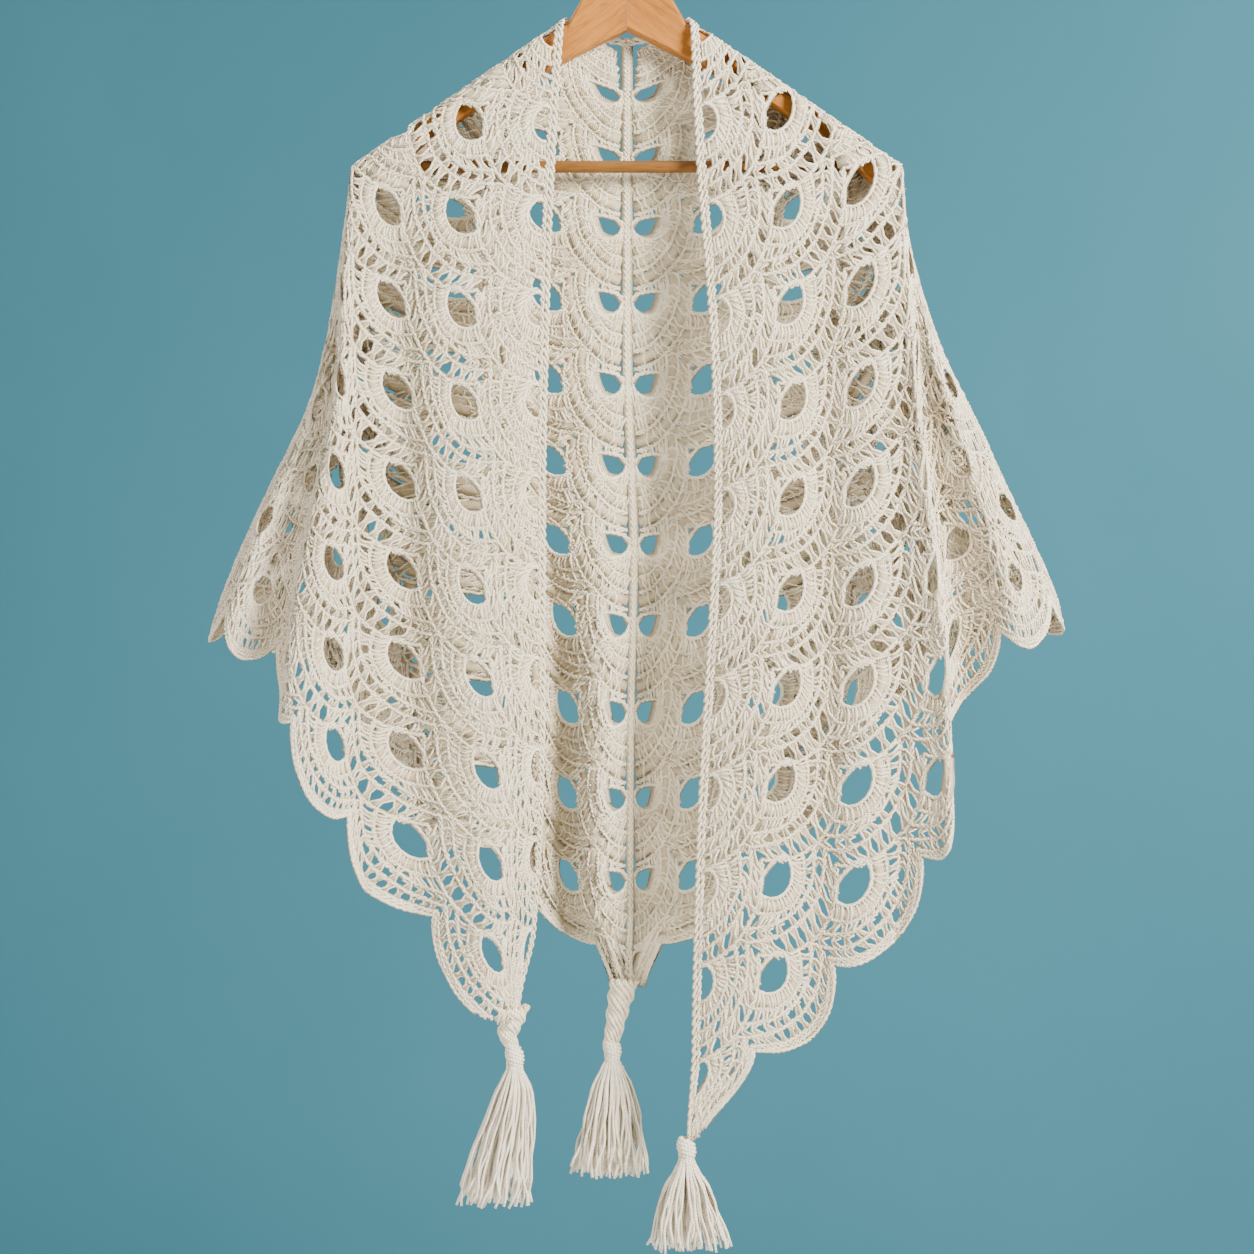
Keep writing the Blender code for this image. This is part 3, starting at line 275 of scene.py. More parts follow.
def hang_side(side, s, t):
    """Folds that fan out from the shoulder line's end."""
    end_s, end_t = side["end"]
    ds = np.maximum(s - end_s, 0.0)
    dt = np.maximum(t - end_t, 0.0)
    reach = np.hypot(ds, dt)
    angle = np.degrees(np.arctan2(dt, ds + 1e-9))
    ones = np.ones_like(reach)
    fx, fy, fd = hang_front(side, end_s + reach, end_t * ones)
    bx, by, bd = hang_back(side, end_s * ones, end_t + reach)
    turn = angle / 90.0
    to_back = soft_step((angle - SIDE_TURNS_BACK[0]) / SIDE_TURNS_BACK[1])
    x = fx + (bx - fx) * to_back
    y = fy * np.cos(turn * math.pi / 2) ** 2 + by * np.sin(turn * math.pi / 2) ** 2
    shorter = sum(share * soft_step((angle - begin) / over) for share, begin, over in SIDE_SHORTENS)
    drop = fd + (bd - fd) * shorter
    length = drop - END_DROP
    knots = table_column(side["fold"], 0)
    outward = curve_through(angle, knots, table_column(side["fold"], 1))
    forward = curve_through(angle, knots, table_column(side["fold"], 2))
    plain = SIDE_SLOPE * np.sin(turn * math.pi) ** 0.8
    flare = curve_through(reach, table_column(side["flare"], 0), table_column(side["flare"], 1))
    folded = soft_step((reach - FOLD_STARTS) / (FOLD_WHOLE - FOLD_STARTS))
    lean = (plain + (outward - plain) * folded) * flare
    return x + length * lean, y - length * forward * folded, drop


def gather(corner, along, off, x, y):
    """Draw the cloth together where it runs into its knot or twist."""
    cut, reach = corner["cut"], corner["reach"]
    beside = 1.0 - soft_step((off - WHOLE_PULL) / corner["span"])
    pull = soft_step((along - cut + reach) / reach) * beside * (1.0 - corner["keep"])
    return x + (corner["x"] - x) * pull, y + (corner["y"] - y) * pull


def hang(side, s, t):
    """Hang flat points (s, t) of one half over the hanger, in metres."""
    s = np.asarray(s, float)
    t = np.asarray(t, float)
    end_s, end_t = side["end"]
    lines = (0.0, 1.0, 2.0, end_t)
    low_t = np.minimum(t, end_t)
    low_s = np.minimum(s, end_s)
    front = hang_front(side, s, low_t)
    back = hang_back(side, low_s, t)
    round_end = hang_side(side, s, t)
    in_side = (s > end_s) & (t > end_t)
    in_front = (t <= end_t) & (s >= curve_through(low_t, lines, side["ridge"]))
    x, y, drop = (np.where(in_side, w, np.where(in_front, f, b))
                  for w, f, b in zip(round_end, front, back))
    name = "front_right" if side["sign"] > 0 else "front_left"
    x, y = gather(CORNERS[name], s, t, x, y)
    x, y = gather(CORNERS["back"], t, s, x, y)
    return np.stack([side["sign"] * x, y, -drop], axis=-1) * MM


def hang_both(side, s, t):
    """Hang points that may lie just past the spine, on the other half."""
    other = LEFT if side["sign"] > 0 else RIGHT
    return np.where((s >= 0.0)[:, None], hang(side, np.abs(s), t), hang(other, np.abs(s), t))


# Yarn: radii, offsets and heights in mm
# Kinds of strand: (height as a share of its width, plies round it, material)
# A core is a flat ribbon of yarn under posts and lines; it takes material 1, the darker core
# cotton, which is painted shade between the strands.
KINDS = {"yarn": (0.75, 1.0, 0), "core": (0.065, 4.0, 1)}
PLY_SHIFT = 0.37  # turns of the plies from one strand to the next
# Rows of posts: (radius, offset of a post's two strands in its middle, and at its ends)
POST_ROWS = ((1.2, 1.15, 1.5), (1.15, 1.2, 2.3), (1.15, 1.2, 3.0), (1.15, 1.2, 3.7))
# Core under a post: half its width in the middle, and at its ends
CORE_ROWS = ((0.0, 0.0), (1.5, 2.4), (1.5, 3.0), (1.6, 4.0))
POST_SLANT = 0.6
POST_LIFT = 0.45
POST_OVERLAP = 0.012  # how far a post runs past its row, as a share of the fan
POST_SHIFT = 0.22  # posts stray from their places and lean, in shares of their spacing
POST_LEAN = 0.25
LINE_RADIUS = 1.15
LINE_SWAY = 1.55  # the two strands of a row's line wind about each other
LINE_LIFT = 0.9
LINE_CORE = 2.3  # half the width of the core under a row's line
RING_CORE = 5.4  # the same under the dense row round an eye
RIM_RADIUS = 1.4
ROWS = (0.0, 0.27, 0.50, 0.74, 1.0)  # lines between a fan's four rows, eye to hem
POSTS = 11  # posts in each row of a whole fan
HEM_POSTS = 14  # posts in the last row of a fan on the hem
HEM_LINES = (0.91, 0.955)  # the hem's own lines, from eye to hem
NARROW_FAN = 0.84  # share of the posts that a fan at the border or the spine has
# Eyes in fans: (half width, middle, reach towards the hem)
EYE = (0.26, -0.045, 0.27)
BORDER_EYE = (0.20, 0.115, 0.17)
SPINE_EYE = (0.24, 0.30, 0.18)
BORDER_LINES = (0.088, 0.038)  # the border's two lines, in fans from the edge
SPINE_LINE = 0.015
SPINE_RIBBON = 0.036
PATH_POINTS = 65  # points of a path before it is laid
STRETCHES = ("front", "side", "back")


class Skein:
    """Strands on one half of the shawl: posts and chains for each stretch, by number of points."""

    def __init__(self, side):
        self.side = side
        self.posts = {word: {} for word in STRETCHES}
        self.chains = {word: {} for word in STRETCHES}

    def lay(self, flat, lift, radius, kind="yarn"):
        """Add strands: flat is (strands, points, 2) in fans, lift and radius are in mm."""
        lift, radius = spread_over(flat.shape[:2], lift, radius)
        middle = flat.mean(axis=1)
        kept = self.on_cloth(middle)
        name = stretch_of(middle[:, 0], middle[:, 1])
        for word, strands in self.posts.items():
            take = kept & (name == word)
            if take.any():
                put(strands, flat[take], lift[take], radius[take], kind)

    def lay_long(self, flat, lift, radius, kind="yarn"):
        """Add one long strand, parted where it crosses from one stretch to the next."""
        lift, radius = spread_over(flat.shape[:1], lift, radius)
        middle = (flat[1:] + flat[:-1]) / 2
        name = np.where(self.on_cloth(middle), stretch_of(middle[:, 0], middle[:, 1]), "")
        starts = [0] + [k for k in range(1, len(name)) if name[k] != name[k - 1]] + [len(name)]
        for a, b in zip(starts, starts[1:]):
            if name[a]:
                run = slice(a, b + 1)
                put(self.chains[str(name[a])], flat[None, run], lift[None, run],
                    radius[None, run], kind)

    def on_cloth(self, middle):
        name = "front_right" if self.side["sign"] > 0 else "front_left"
        return (middle[:, 0] < CORNERS[name]["cut"]) & (middle[:, 1] < CORNERS["back"]["cut"])


def spread_over(shape, *values):
    """Numbers or arrays as arrays of one shape."""
    return [np.broadcast_to(np.asarray(value, float), shape) for value in values]


def put(strands, flat, lift, radius, kind):
    strands.setdefault((flat.shape[1], kind), []).append((flat, lift, radius))


def stretch_of(s, t):
    """Which stretch of a half a flat point belongs to."""
    front = (t <= SEAM) & (s > t + SEAM_SHIFT)
    side = (s > SEAM) & (t > np.minimum(SEAM, s - SEAM_SHIFT))
    return np.where(side, "side", np.where(front, "front", "back"))


def outward(side, s, t):
    """Unit normals on the cloth's outer face."""
    along = hang_both(side, s + NORMAL_STEP, t) - hang_both(side, s - NORMAL_STEP, t)
    inward = hang_both(side, s, t + NORMAL_STEP) - hang_both(side, s, t - NORMAL_STEP)
    normal = np.cross(along, inward) * side["sign"]
    return normal / np.linalg.norm(normal, axis=1)[:, None]


def tubes(centres, normals, radius, sides, flatten=1.0, rounds=1.0, finish=0):
    """Tubes along (strands, points, 3) centres: their points, faces, UVs and material number."""
    strands, count = centres.shape[:2]
    run = np.gradient(centres, axis=1)
    run /= np.linalg.norm(run, axis=2)[..., None] + 1e-12
    wide = np.cross(run, normals)
    wide /= np.linalg.norm(wide, axis=2)[..., None] + 1e-12
    high = np.cross(wide, run)
    turn = 2 * math.pi * np.arange(sides) / sides
    reach = radius[..., None, None]
    points = centres[:, :, None] + reach * (np.cos(turn)[:, None] * wide[:, :, None]
                                            + np.sin(turn)[:, None] * high[:, :, None] * flatten)
    base = (np.arange(strands) * count * sides)[:, None, None]
    ring = (np.arange(count - 1) * sides)[None, :, None]
    k = np.arange(sides)[None, None, :]
    after = (k + 1) % sides
    quads = np.stack([base + ring + k, base + ring + after, base + ring + sides + after,
                      base + ring + sides + k], axis=-1).reshape(-1, 4)
    first = (base[:, 0] + np.arange(sides)[::-1][None, :]).reshape(-1, sides)
    last = (base[:, 0] + (count - 1) * sides + np.arange(sides)[None, :]).reshape(-1, sides)
    steps = np.cumsum(np.linalg.norm(np.diff(centres, axis=1), axis=2), axis=1)
    length = np.concatenate([np.zeros((strands, 1)), steps], axis=1)
    length = length / (10.0 * MM) + np.arange(strands)[:, None] * PLY_SHIFT
    u = np.stack([k, k + 1, k + 1, k], axis=-1) * rounds / sides
    u = u + np.zeros((strands, count - 1, 1, 1))
    v = np.stack([length[:, :-1], length[:, :-1], length[:, 1:], length[:, 1:]], axis=-1)
    quad_uv = np.stack([u, v[:, :, None, :] + np.zeros_like(u)], axis=-1).reshape(-1, 2)
    cap_uv = np.zeros((2 * strands * sides, 2))
    return points.reshape(-1, 3), quads, np.concatenate([first, last]), quad_uv, cap_uv, finish


def wind(name, parts, finishes):
    """Join tubes into one mesh with UVs that run round and along each strand."""
    points, loops, sizes, uvs, numbers = [], [], [], [], []
    shift = 0
    for some, quads, caps, quad_uv, cap_uv, finish in parts:
        points.append(some)
        numbers.append(np.full(len(quads) + len(caps), finish))
        loops += [(quads + shift).ravel(), (caps + shift).ravel()]
        sizes += [np.full(len(quads), 4), np.full(len(caps), caps.shape[1])]
        uvs += [quad_uv, cap_uv]
        shift += len(some)
    points, loops, sizes, uvs, numbers = (np.concatenate(rows) for rows in
                                          (points, loops, sizes, uvs, numbers))
    mesh = bpy.data.meshes.new(name)
    mesh.vertices.add(len(points))
    mesh.vertices.foreach_set("co", points.astype(np.float32).ravel())
    mesh.loops.add(len(loops))
    mesh.loops.foreach_set("vertex_index", loops.astype(np.int32))
    mesh.polygons.add(len(sizes))
    starts = np.concatenate([[0], np.cumsum(sizes)[:-1]])
    mesh.polygons.foreach_set("loop_start", starts.astype(np.int32))
    mesh.polygons.foreach_set("loop_total", sizes.astype(np.int32))
    mesh.polygons.foreach_set("use_smooth", np.ones(len(sizes), bool))
    mesh.polygons.foreach_set("material_index", numbers.astype(np.int32))
    layer = mesh.uv_layers.new(name="UVMap")
    layer.data.foreach_set("uv", uvs.astype(np.float32).ravel())
    mesh.update(calc_edges=True)
    for finish in finishes:
        mesh.materials.append(finish)
    piece = bpy.data.objects.new(name, mesh)
    bpy.context.scene.collection.objects.link(piece)
    return piece


def spin_yarn(side, strands):
    """Hang the strands of one stretch and make their tubes."""
    rolls = [(kind, *(np.concatenate(some) for some in zip(*rows)))
             for (count, kind), rows in sorted(strands.items())]
    s, t = (np.concatenate([roll[1][..., axis].ravel() for roll in rolls]) for axis in (0, 1))
    hung, normals = hang_both(side, s, t), outward(side, s, t)
    parts, start = [], 0
    for kind, flat, lift, radius in rolls:
        here = slice(start, start + lift.size)
        start += lift.size
        facing = normals[here].reshape(*lift.shape, 3)
        centres = hung[here].reshape(*lift.shape, 3) + facing * lift[..., None] * MM
        parts.append(tubes(centres, facing, radius * MM, 4, *KINDS[kind]))
    return parts


def from_fan(i, j, e, n):
    """Flat point at e along the hem's direction and n towards the hem from eye (i, j)."""
    return np.stack([i + (e + n) * math.sqrt(0.5), j + (n - e) * math.sqrt(0.5)], axis=-1)


def even(path, count=PATH_POINTS):
    """The same path with evenly spaced points."""
    path = np.asarray(path, float)
    far = np.concatenate([[0.0], np.cumsum(np.linalg.norm(np.diff(path, axis=0), axis=1))])
    at = np.linspace(0.0, far[-1], count)
    return np.stack([np.interp(at, far, path[:, axis]) for axis in (0, 1)], axis=-1)


def arc(i, j, first, last):
    """Points on the scallop of the fan at (i, j), from one angle off its axis to another."""
    a = np.radians(np.linspace(first, last, 33))
    return from_fan(i, j, FAN_RADIUS * np.sin(a), FAN_RADIUS * np.cos(a))


def fan_sides(i, j):
    """The four sides of a fan's patch: eye rim, scallop, and the two between them."""
    a = np.linspace(0.0, math.pi, 33)
    if i == 0 and j == 0:
        turn = np.linspace(0.12, math.pi / 2 - 0.12, 33)
        rim = np.stack([0.13 + 0.1 * np.sin(turn), 0.13 + 0.1 * np.cos(turn)], axis=-1)
        hem = np.stack([FAN_RADIUS * np.sin(turn), FAN_RADIUS * np.cos(turn)], axis=-1)
        return rim, even(hem), even([rim[0], hem[0]]), even([rim[-1], hem[-1]])
    if j == 0:
        half, middle, reach = BORDER_EYE
        rim = np.stack([i - half * np.cos(a), middle + reach * np.sin(a)], axis=-1)
        hem = arc(i, j, -VALLEY_ANGLE, EDGE_ANGLE)
        left = np.concatenate([[rim[0]], arc(i - 1, j, 25.0, 0.0), hem[:1]])
        return even(rim), even(hem), even(left), even([rim[-1], hem[-1]])
    if i == 0:
        half, middle, reach = SPINE_EYE
        rim = np.stack([middle - half * np.cos(a), j + reach * np.sin(a)], axis=-1)
        hem = arc(i, j, -EDGE_ANGLE, VALLEY_ANGLE)
        right = np.concatenate([[rim[-1]], arc(i, j - 1, -14.0, 0.0), hem[-1:]])
        return even(rim), even(hem), even([rim[0], hem[0]]), even(right)
    half, middle, reach = EYE
    rim = from_fan(i, j, -half * np.cos(a), middle + reach * np.sin(a))
    hem = arc(i, j, -VALLEY_ANGLE, VALLEY_ANGLE)
    left = np.concatenate([[rim[0]], arc(i - 1, j, 33.0, 0.0), hem[:1]])
    right = np.concatenate([[rim[-1]], arc(i, j - 1, -33.0, 0.0), hem[-1:]])
    return even(rim), even(hem), even(left), even(right)


def on_patch(sides, tau, rho):
    """Flat points of a fan at tau across it and rho from its eye to its scallop, 0 to 1."""
    rim, hem, left, right = sides

    def read(path, at):
        knots = np.linspace(0.0, 1.0, len(path))
        return np.stack([np.interp(at, knots, path[:, axis]) for axis in (0, 1)], axis=-1)

    a, b = tau[..., None], rho[..., None]
    face = (1 - b) * read(rim, tau) + b * read(hem, tau)
    face = face + (1 - a) * read(left, rho) + a * read(right, rho)
    return face - ((1 - a) * (1 - b) * rim[0] + a * (1 - b) * rim[-1]
                   + (1 - a) * b * hem[0] + a * b * hem[-1])


def sideways(flat):
    """Unit directions across flat paths."""
    run = np.gradient(flat, axis=-2)
    run /= np.linalg.norm(run, axis=-1)[..., None] + 1e-12
    return np.stack([-run[..., 1], run[..., 0]], axis=-1)


def pair(flat, halves, sway, lift, start=0.0):
    """Two strands that wind about a path, crossing once in each half wave."""
    u = np.linspace(0.0, math.pi * halves, flat.shape[-2]) + start
    across_path = sideways(flat) * (sway / FAN * np.cos(u))[..., None]
    return (flat + across_path, lift * np.sin(u)), (flat - across_path, -lift * np.sin(u))


def side_by_side(flat, middle, ends):
    """The two strands of a post: close in its middle, splayed and slanted at its ends."""
    u = np.linspace(0.0, 1.0, flat.shape[-2])
    spread = middle + (ends - middle) * np.cos(math.pi * u) ** 2
    slant = POST_SLANT * np.cos(math.pi * u)
    over = POST_LIFT * np.sin(math.pi * u)
    beside = sideways(flat) / FAN
    return ((flat + beside * (spread + slant)[:, None], over),
            (flat - beside * (spread - slant)[:, None], -over))


def lay_posts(skein, sides, count, low, high, points, dice, row, share_of_row=1.0):
    """One row of posts, each of two strands."""
    radius, middle, ends = (share_of_row * size for size in POST_ROWS[row])
    number = count - row % 2  # odd rows stand between the posts of even ones
    stray = dice.uniform(-POST_SHIFT, POST_SHIFT, number)
    tau = (np.arange(number) + 0.5 + 0.5 * (row % 2) + stray) / count
    share = np.linspace(low - POST_OVERLAP, high + POST_OVERLAP, points)
    lean = dice.uniform(-POST_LEAN, POST_LEAN, number)[:, None] * np.linspace(-1, 1, points) / count
    tau = np.clip(tau[:, None] + lean, 0.0, 1.0)
    flat = on_patch(sides, tau, share[None, :] + np.zeros((number, 1)))
    thin = np.ones(points)
    thin[0] = thin[-1] = 0.8
    size = radius * thin[None, :] * dice.uniform(0.88, 1.15, number)[:, None]
    rise = dice.uniform(-0.3, 0.4, number)[:, None]
    for path, height in side_by_side(flat, middle, ends):
        skein.lay(path, height[None, :] + rise, size)
    core = CORE_ROWS[row]
    if core[0]:
        half = (core[0] + (core[1] - core[0]) * np.array([1.0, 0.0, 1.0])) * share_of_row
        half = half[None] * dice.uniform(0.8, 1.2, number)[:, None]
        skein.lay(flat[:, [0, points // 2, -1]], 0.0, half, "core")


def lay_line(skein, path, waves, sway=LINE_SWAY, lift=LINE_LIFT, radius=LINE_RADIUS, core=LINE_CORE,
             per_wave=2.35, start=0.8):
    """A row's line: two long strands that wind about each other over a flat core."""
    flat = even(path, max(3, round(waves * per_wave) + 1))
    for strand, height in pair(flat, 2 * waves, sway, lift, start):
        skein.lay_long(strand, height, radius)
    if core:
        skein.lay_long(even(path, max(4, round(waves * 1.2))), 0.0, core, "core")


def lay_fan(skein, i, j, dice):
    """One shell fan: its eye's rim, four rows of posts and the lines between them."""
    sides = fan_sides(i, j)
    whole = 1.0 if i and j else NARROW_FAN
    on_hem = i + j == HEM_FANS
    posts = round(POSTS * whole)
    last = round(HEM_POSTS * whole) if on_hem else posts
    rim, hem = sides[:2]
    across_fan = np.linspace(0.0, 1.0, PATH_POINTS)

    def line_at(rho, tau=across_fan):
        return on_patch(sides, tau, np.full(PATH_POINTS, rho))

    lay_posts(skein, sides, posts, ROWS[0], ROWS[1], 3, dice, 0)
    ring = line_at(ROWS[1] / 2, 0.04 + 0.92 * across_fan)
    skein.lay_long(even(ring, 15), 0.0, RING_CORE, "core")
    # Cores fill the holes between these rows; their darker cotton is painted shade.
    if j + SEAM_SHIFT > i:  # behind the shoulders the rows close on themselves
        for low, high in zip(ROWS[1:], ROWS[2:]):
            skein.lay_long(even(line_at((low + high) / 2), 10), 0.0, RING_CORE, "core")
    lay_posts(skein, sides, posts, ROWS[1], ROWS[2], 3, dice, 1)
    lay_posts(skein, sides, posts, ROWS[2], ROWS[3], 3, dice, 2)
    end = HEM_LINES[0] if on_hem else ROWS[4]
    lay_posts(skein, sides, last, ROWS[3], end, 3, dice, 3, posts / last)
    lay_line(skein, rim, 4, sway=0.7, lift=0.5, radius=RIM_RADIUS, core=0)
    for rho in ROWS[1:4]:
        lay_line(skein, line_at(rho), posts)
    if on_hem:
        lay_line(skein, line_at(HEM_LINES[0]), posts)
        lay_line(skein, line_at(HEM_LINES[1]), posts, start=2.2, core=0)
        lay_line(skein, hem, posts, sway=0.8, lift=0.7, radius=1.3, core=1.9)
    else:
        lay_line(skein, hem, posts)
    lay_eye_top(skein, i, j)


def lay_eye_top(skein, i, j):
    """The chain over an eye, and the posts between the gaps above it."""
    a = np.linspace(0.0, math.pi, 17)
    if i and j:
        top = from_fan(i, j, -EYE[0] * np.cos(a), EYE[1] - 0.09 * np.sin(a))
        lay_line(skein, top, 4, sway=1.3, core=2.4)
        up = np.linspace(-0.28, -0.13, 3)
        lay_short(skein, [from_fan(i, j, np.full(3, e), up) for e in (-0.1, 0.08)])
    elif j:
        half, middle, _ = SPINE_EYE
        top = np.stack([middle - half * np.cos(a), j - 0.14 * np.sin(a) ** 0.6], axis=-1)
        lay_line(skein, top, 4, sway=1.3, core=2.4)
        rows = []
        for s in (0.10, 0.20, 0.30, 0.40, 0.50):
            above = j - 1 + math.sqrt(FAN_RADIUS ** 2 - s ** 2)
            below = j - 0.13 if s < 0.45 else j - 0.06
            if below - above > 0.05:
                rows.append(np.stack([np.full(4, s), np.linspace(above, below, 4)], axis=-1))
        if rows:
            lay_short(skein, rows)


def lay_short(skein, paths):
    """Single posts that no row holds."""
    radius, middle, ends = POST_ROWS[1]
    for path, height in side_by_side(np.array(paths), middle, ends):
        skein.lay(path, height[None, :], radius)


def lay_edges(skein, dice):
    """The smooth border along the long edge, and the chain down the spine."""
    s = np.arange(0.0, HEM_FANS + FAN_RADIUS, 0.1)
    wander = np.interp(s, s[::3], dice.uniform(-0.006, 0.006, len(s[::3])))
    inner = np.stack([s, BORDER_LINES[0] + wander], axis=-1)
    lay_line(skein, inner, 80, sway=1.5, lift=1.0, radius=1.05, core=0, per_wave=3.0)
    border = np.stack([s, BORDER_LINES[1] + wander / 3], axis=-1)
    lay_line(skein, border, 66, sway=1.55, lift=1.3, radius=1.3, core=1.9, per_wave=4.5)
    t = np.linspace(0.0, HEM_FANS + FAN_RADIUS, 61)
    spine = np.stack([np.full(t.size, SPINE_LINE), t], axis=-1)
    lay_line(skein, spine, 80, sway=1.25, lift=0.8, radius=1.15, core=0, per_wave=3.7)
    t = np.linspace(0.0, HEM_FANS + FAN_RADIUS, 80)
    skein.lay_long(np.stack([np.full(t.size, SPINE_RIBBON), t], axis=-1), 0.0, 2.4, "core")


def crochet(side, seed):
    """All the yarn of one half."""
    skein = Skein(side)
    dice = np.random.default_rng(seed)
    for j in range(HEM_FANS + 1):
        for i in range(HEM_FANS + 1 - j):
            lay_fan(skein, i, j, dice)
    lay_edges(skein, dice)
    return skein


# Twists and tassels: mm, x to the right, y backward, drop below the hook
TWISTS = {
    "left": ((-92.0, -12.0, 917.0, 11.5), (-95.0, -11.5, 930.0, 9.6), (-98.0, -11.0, 940.0, 7.8),
             (-93.5, -10.0, 952.0, 5.0)),
    "back": ((-2.0, 35.0, 900.0, 12.0), (-8.0, 34.5, 928.0, 8.8), (-12.5, 34.0, 952.0, 6.5)),
}
TWIST_STRANDS = 11
TWIST_TURNS = 0.9
TASSELS = {
    "left": {"knot": (-92.5, -10.0, 957.3), "foot": (-111.5, -10.0, 1078.0), "spread": 31.0},
    "back": {"knot": (-12.5, 34.0, 957.3), "foot": (-14.0, 34.0, 1061.0), "spread": 33.0},
    "right": {"knot": (48.5, -26.5, 1030.3), "foot": (50.0, -26.5, 1110.0), "spread": 34.0},
}
TASSEL_STRANDS = 125
STRAND_RADIUS = 1.05
# Head of a tassel below its knot: (drop from the knot, radius of the bundle)
HEAD_PROFILE = ((0.0, 4.0), (6.0, 6.0), (10.0, 5.2), (15.0, 8.2), (24.0, 12.6))
GOLDEN_TURN = 2.39996  # spreads the strands evenly over a tassel's round
WRAP_TILT = 0.35  # slope of the yarn that is wound round a knot


def free_tubes(paths, radius, sides):
    """Tubes along paths in mm that no cloth carries."""
    centres = np.array(paths, float) * np.array([1.0, 1.0, -1.0]) * MM
    run = np.gradient(centres, axis=1)
    level = np.cross(run, np.array([0.13, 0.99, 0.05]))
    level /= np.linalg.norm(level, axis=2)[..., None] + 1e-12
    return tubes(centres, level, np.broadcast_to(radius, centres.shape[:2]) * MM, sides)


def tassel(name, seed, knot, foot, spread):
    """A knotted head and a full bunch of strands."""
    dice = np.random.default_rng(seed)
    count, steps = TASSEL_STRANDS, 18
    reach = np.sqrt((np.arange(count) + 0.5) / count)
    turn = np.arange(count) * GOLDEN_TURN + dice.uniform(-0.3, 0.3, count)
    length = foot[2] - knot[2] - dice.uniform(0.0, 4.0, count) ** 2
    drop = np.linspace(0.0, 1.0, steps)[None, :] ** 1.15 * length[:, None] + 2.0
    head = np.interp(drop, table_column(HEAD_PROFILE, 0), table_column(HEAD_PROFILE, 1))
    free, bound = HEAD_PROFILE[-1]
    below = np.clip((drop - free) / (foot[2] - knot[2] - free), 0.0, 1.0)
    bundle = head + (spread - bound) * below ** 0.66
    sway = dice.uniform(1.0, 4.6, count)[:, None]
    phase = dice.uniform(0, 6.28, count)[:, None]
    bend = (np.sin(drop / 13.0 + phase) + 0.4 * np.sin(drop / 5.5 + 2.3 * phase)) * sway * below
    lean = below ** 1.2
    x = knot[0] + bundle * (reach * np.cos(turn))[:, None] + (foot[0] - knot[0]) * lean + bend
    y = knot[1] + bundle * 0.8 * (reach * np.sin(turn))[:, None] + (foot[1] - knot[1]) * lean
    y = y + np.sin(drop / 15.0 + phase * 1.7) * sway * below
    paths = np.stack([x, y, knot[2] + drop], axis=-1)
    radius = STRAND_RADIUS * dice.uniform(0.85, 1.15, count)[:, None] * np.ones((1, steps))
    parts = [free_tubes(paths, radius, 4)]
    parts += wrapping(knot, 8.4, 7.4, 5.2, 1.7)
    parts += wrapping((knot[0], knot[1], knot[2] + 10.5), 6.2, 3.2, 3.0, 1.2)
    return wind(name, parts, [TASSEL_COTTON])


def wrapping(middle, radius, half, turns, yarn):
    """Yarn wound round and round into a knot or a band."""
    a = np.linspace(0.0, 2 * math.pi * turns, round(16 * turns))
    down = np.linspace(-half, half, a.size)
    bulge = (radius - yarn) * np.sqrt(np.clip(1.0 - (down / (half * 1.25)) ** 2, 0.05, 1.0))
    path = np.stack([middle[0] + bulge * np.cos(a), middle[1] + bulge * np.sin(a),
                     middle[2] + down + WRAP_TILT * bulge * np.cos(a)], axis=-1)
    core = np.stack([np.full(5, middle[0]), np.full(5, middle[1]),
                     middle[2] + np.linspace(-half, half, 5)], axis=-1)
    fill = np.array([0.5, 0.85, 1.0, 0.85, 0.5]) * (radius - yarn * 1.4)
    return [free_tubes([path], np.full((1, a.size), yarn), 6),
            free_tubes([core], fill[None, :], 12)]


def rope(name, stations):
    """The corner of the cloth rolled into a short rope."""
    rows = np.array(stations)
    steps = 22
    drop = np.linspace(rows[0, 2], rows[-1, 2], steps)
    x, y, radius = (curve_through(drop, rows[:, 2], rows[:, k]) for k in (0, 1, 3))
    paths, sizes = [], []
    thick = radius * 2 * math.pi / TWIST_STRANDS * 0.36
    down = np.linspace(0, 1, steps)
    for k in range(TWIST_STRANDS):
        a = 2 * math.pi * (k / TWIST_STRANDS + TWIST_TURNS * down)
        lobes = 1.0 + 0.10 * np.cos(2 * (a - TWIST_TURNS * 2 * math.pi * down * 2))
        ring = (radius - thick * 0.8) * lobes
        paths.append(np.stack([x + ring * np.cos(a), y + ring * np.sin(a), drop], axis=-1))
        sizes.append(thick * (1.0 + 0.12 * np.sin(np.arange(steps) * 1.9 + k)))
    core = np.stack([x, y, drop], axis=-1)
    return wind(name, [free_tubes(paths, np.array(sizes), 5),
                       free_tubes([core], (radius * 0.62)[None, :], 10)], [PALE_COTTON])


# Materials

def group(name, ins, outs):
    """An empty shader node group with its sockets."""
    made = bpy.data.node_groups.new(name, "ShaderNodeTree")
    for word, kind, value in ins:
        socket = made.interface.new_socket(word, in_out="INPUT", socket_type="NodeSocket" + kind)
        if value is not None:
            socket.default_value = value
    for word, kind in outs:
        made.interface.new_socket(word, in_out="OUTPUT", socket_type="NodeSocket" + kind)
    return made, made.nodes.new("NodeGroupInput"), made.nodes.new("NodeGroupOutput")


def set_inputs(made, values):
    """Set a node's inputs by name, with _ for a space."""
    for word, value in values.items():
        made.inputs[word.replace("_", " ")].default_value = value


def node(tree, kind, **values):
    made = tree.nodes.new("ShaderNode" + kind)
    set_inputs(made, values)
    return made


def ramp(tree, value, stops):
    made = tree.nodes.new("ShaderNodeValToRGB")
    tree.links.new(value, made.inputs["Fac"])
    points = made.color_ramp.elements
    while len(points) < len(stops):
        points.new(0.5)
    for point, (at, colour) in zip(points, stops):
        point.position = at
        point.color = (*colour, 1.0)
    return made.outputs["Color"]


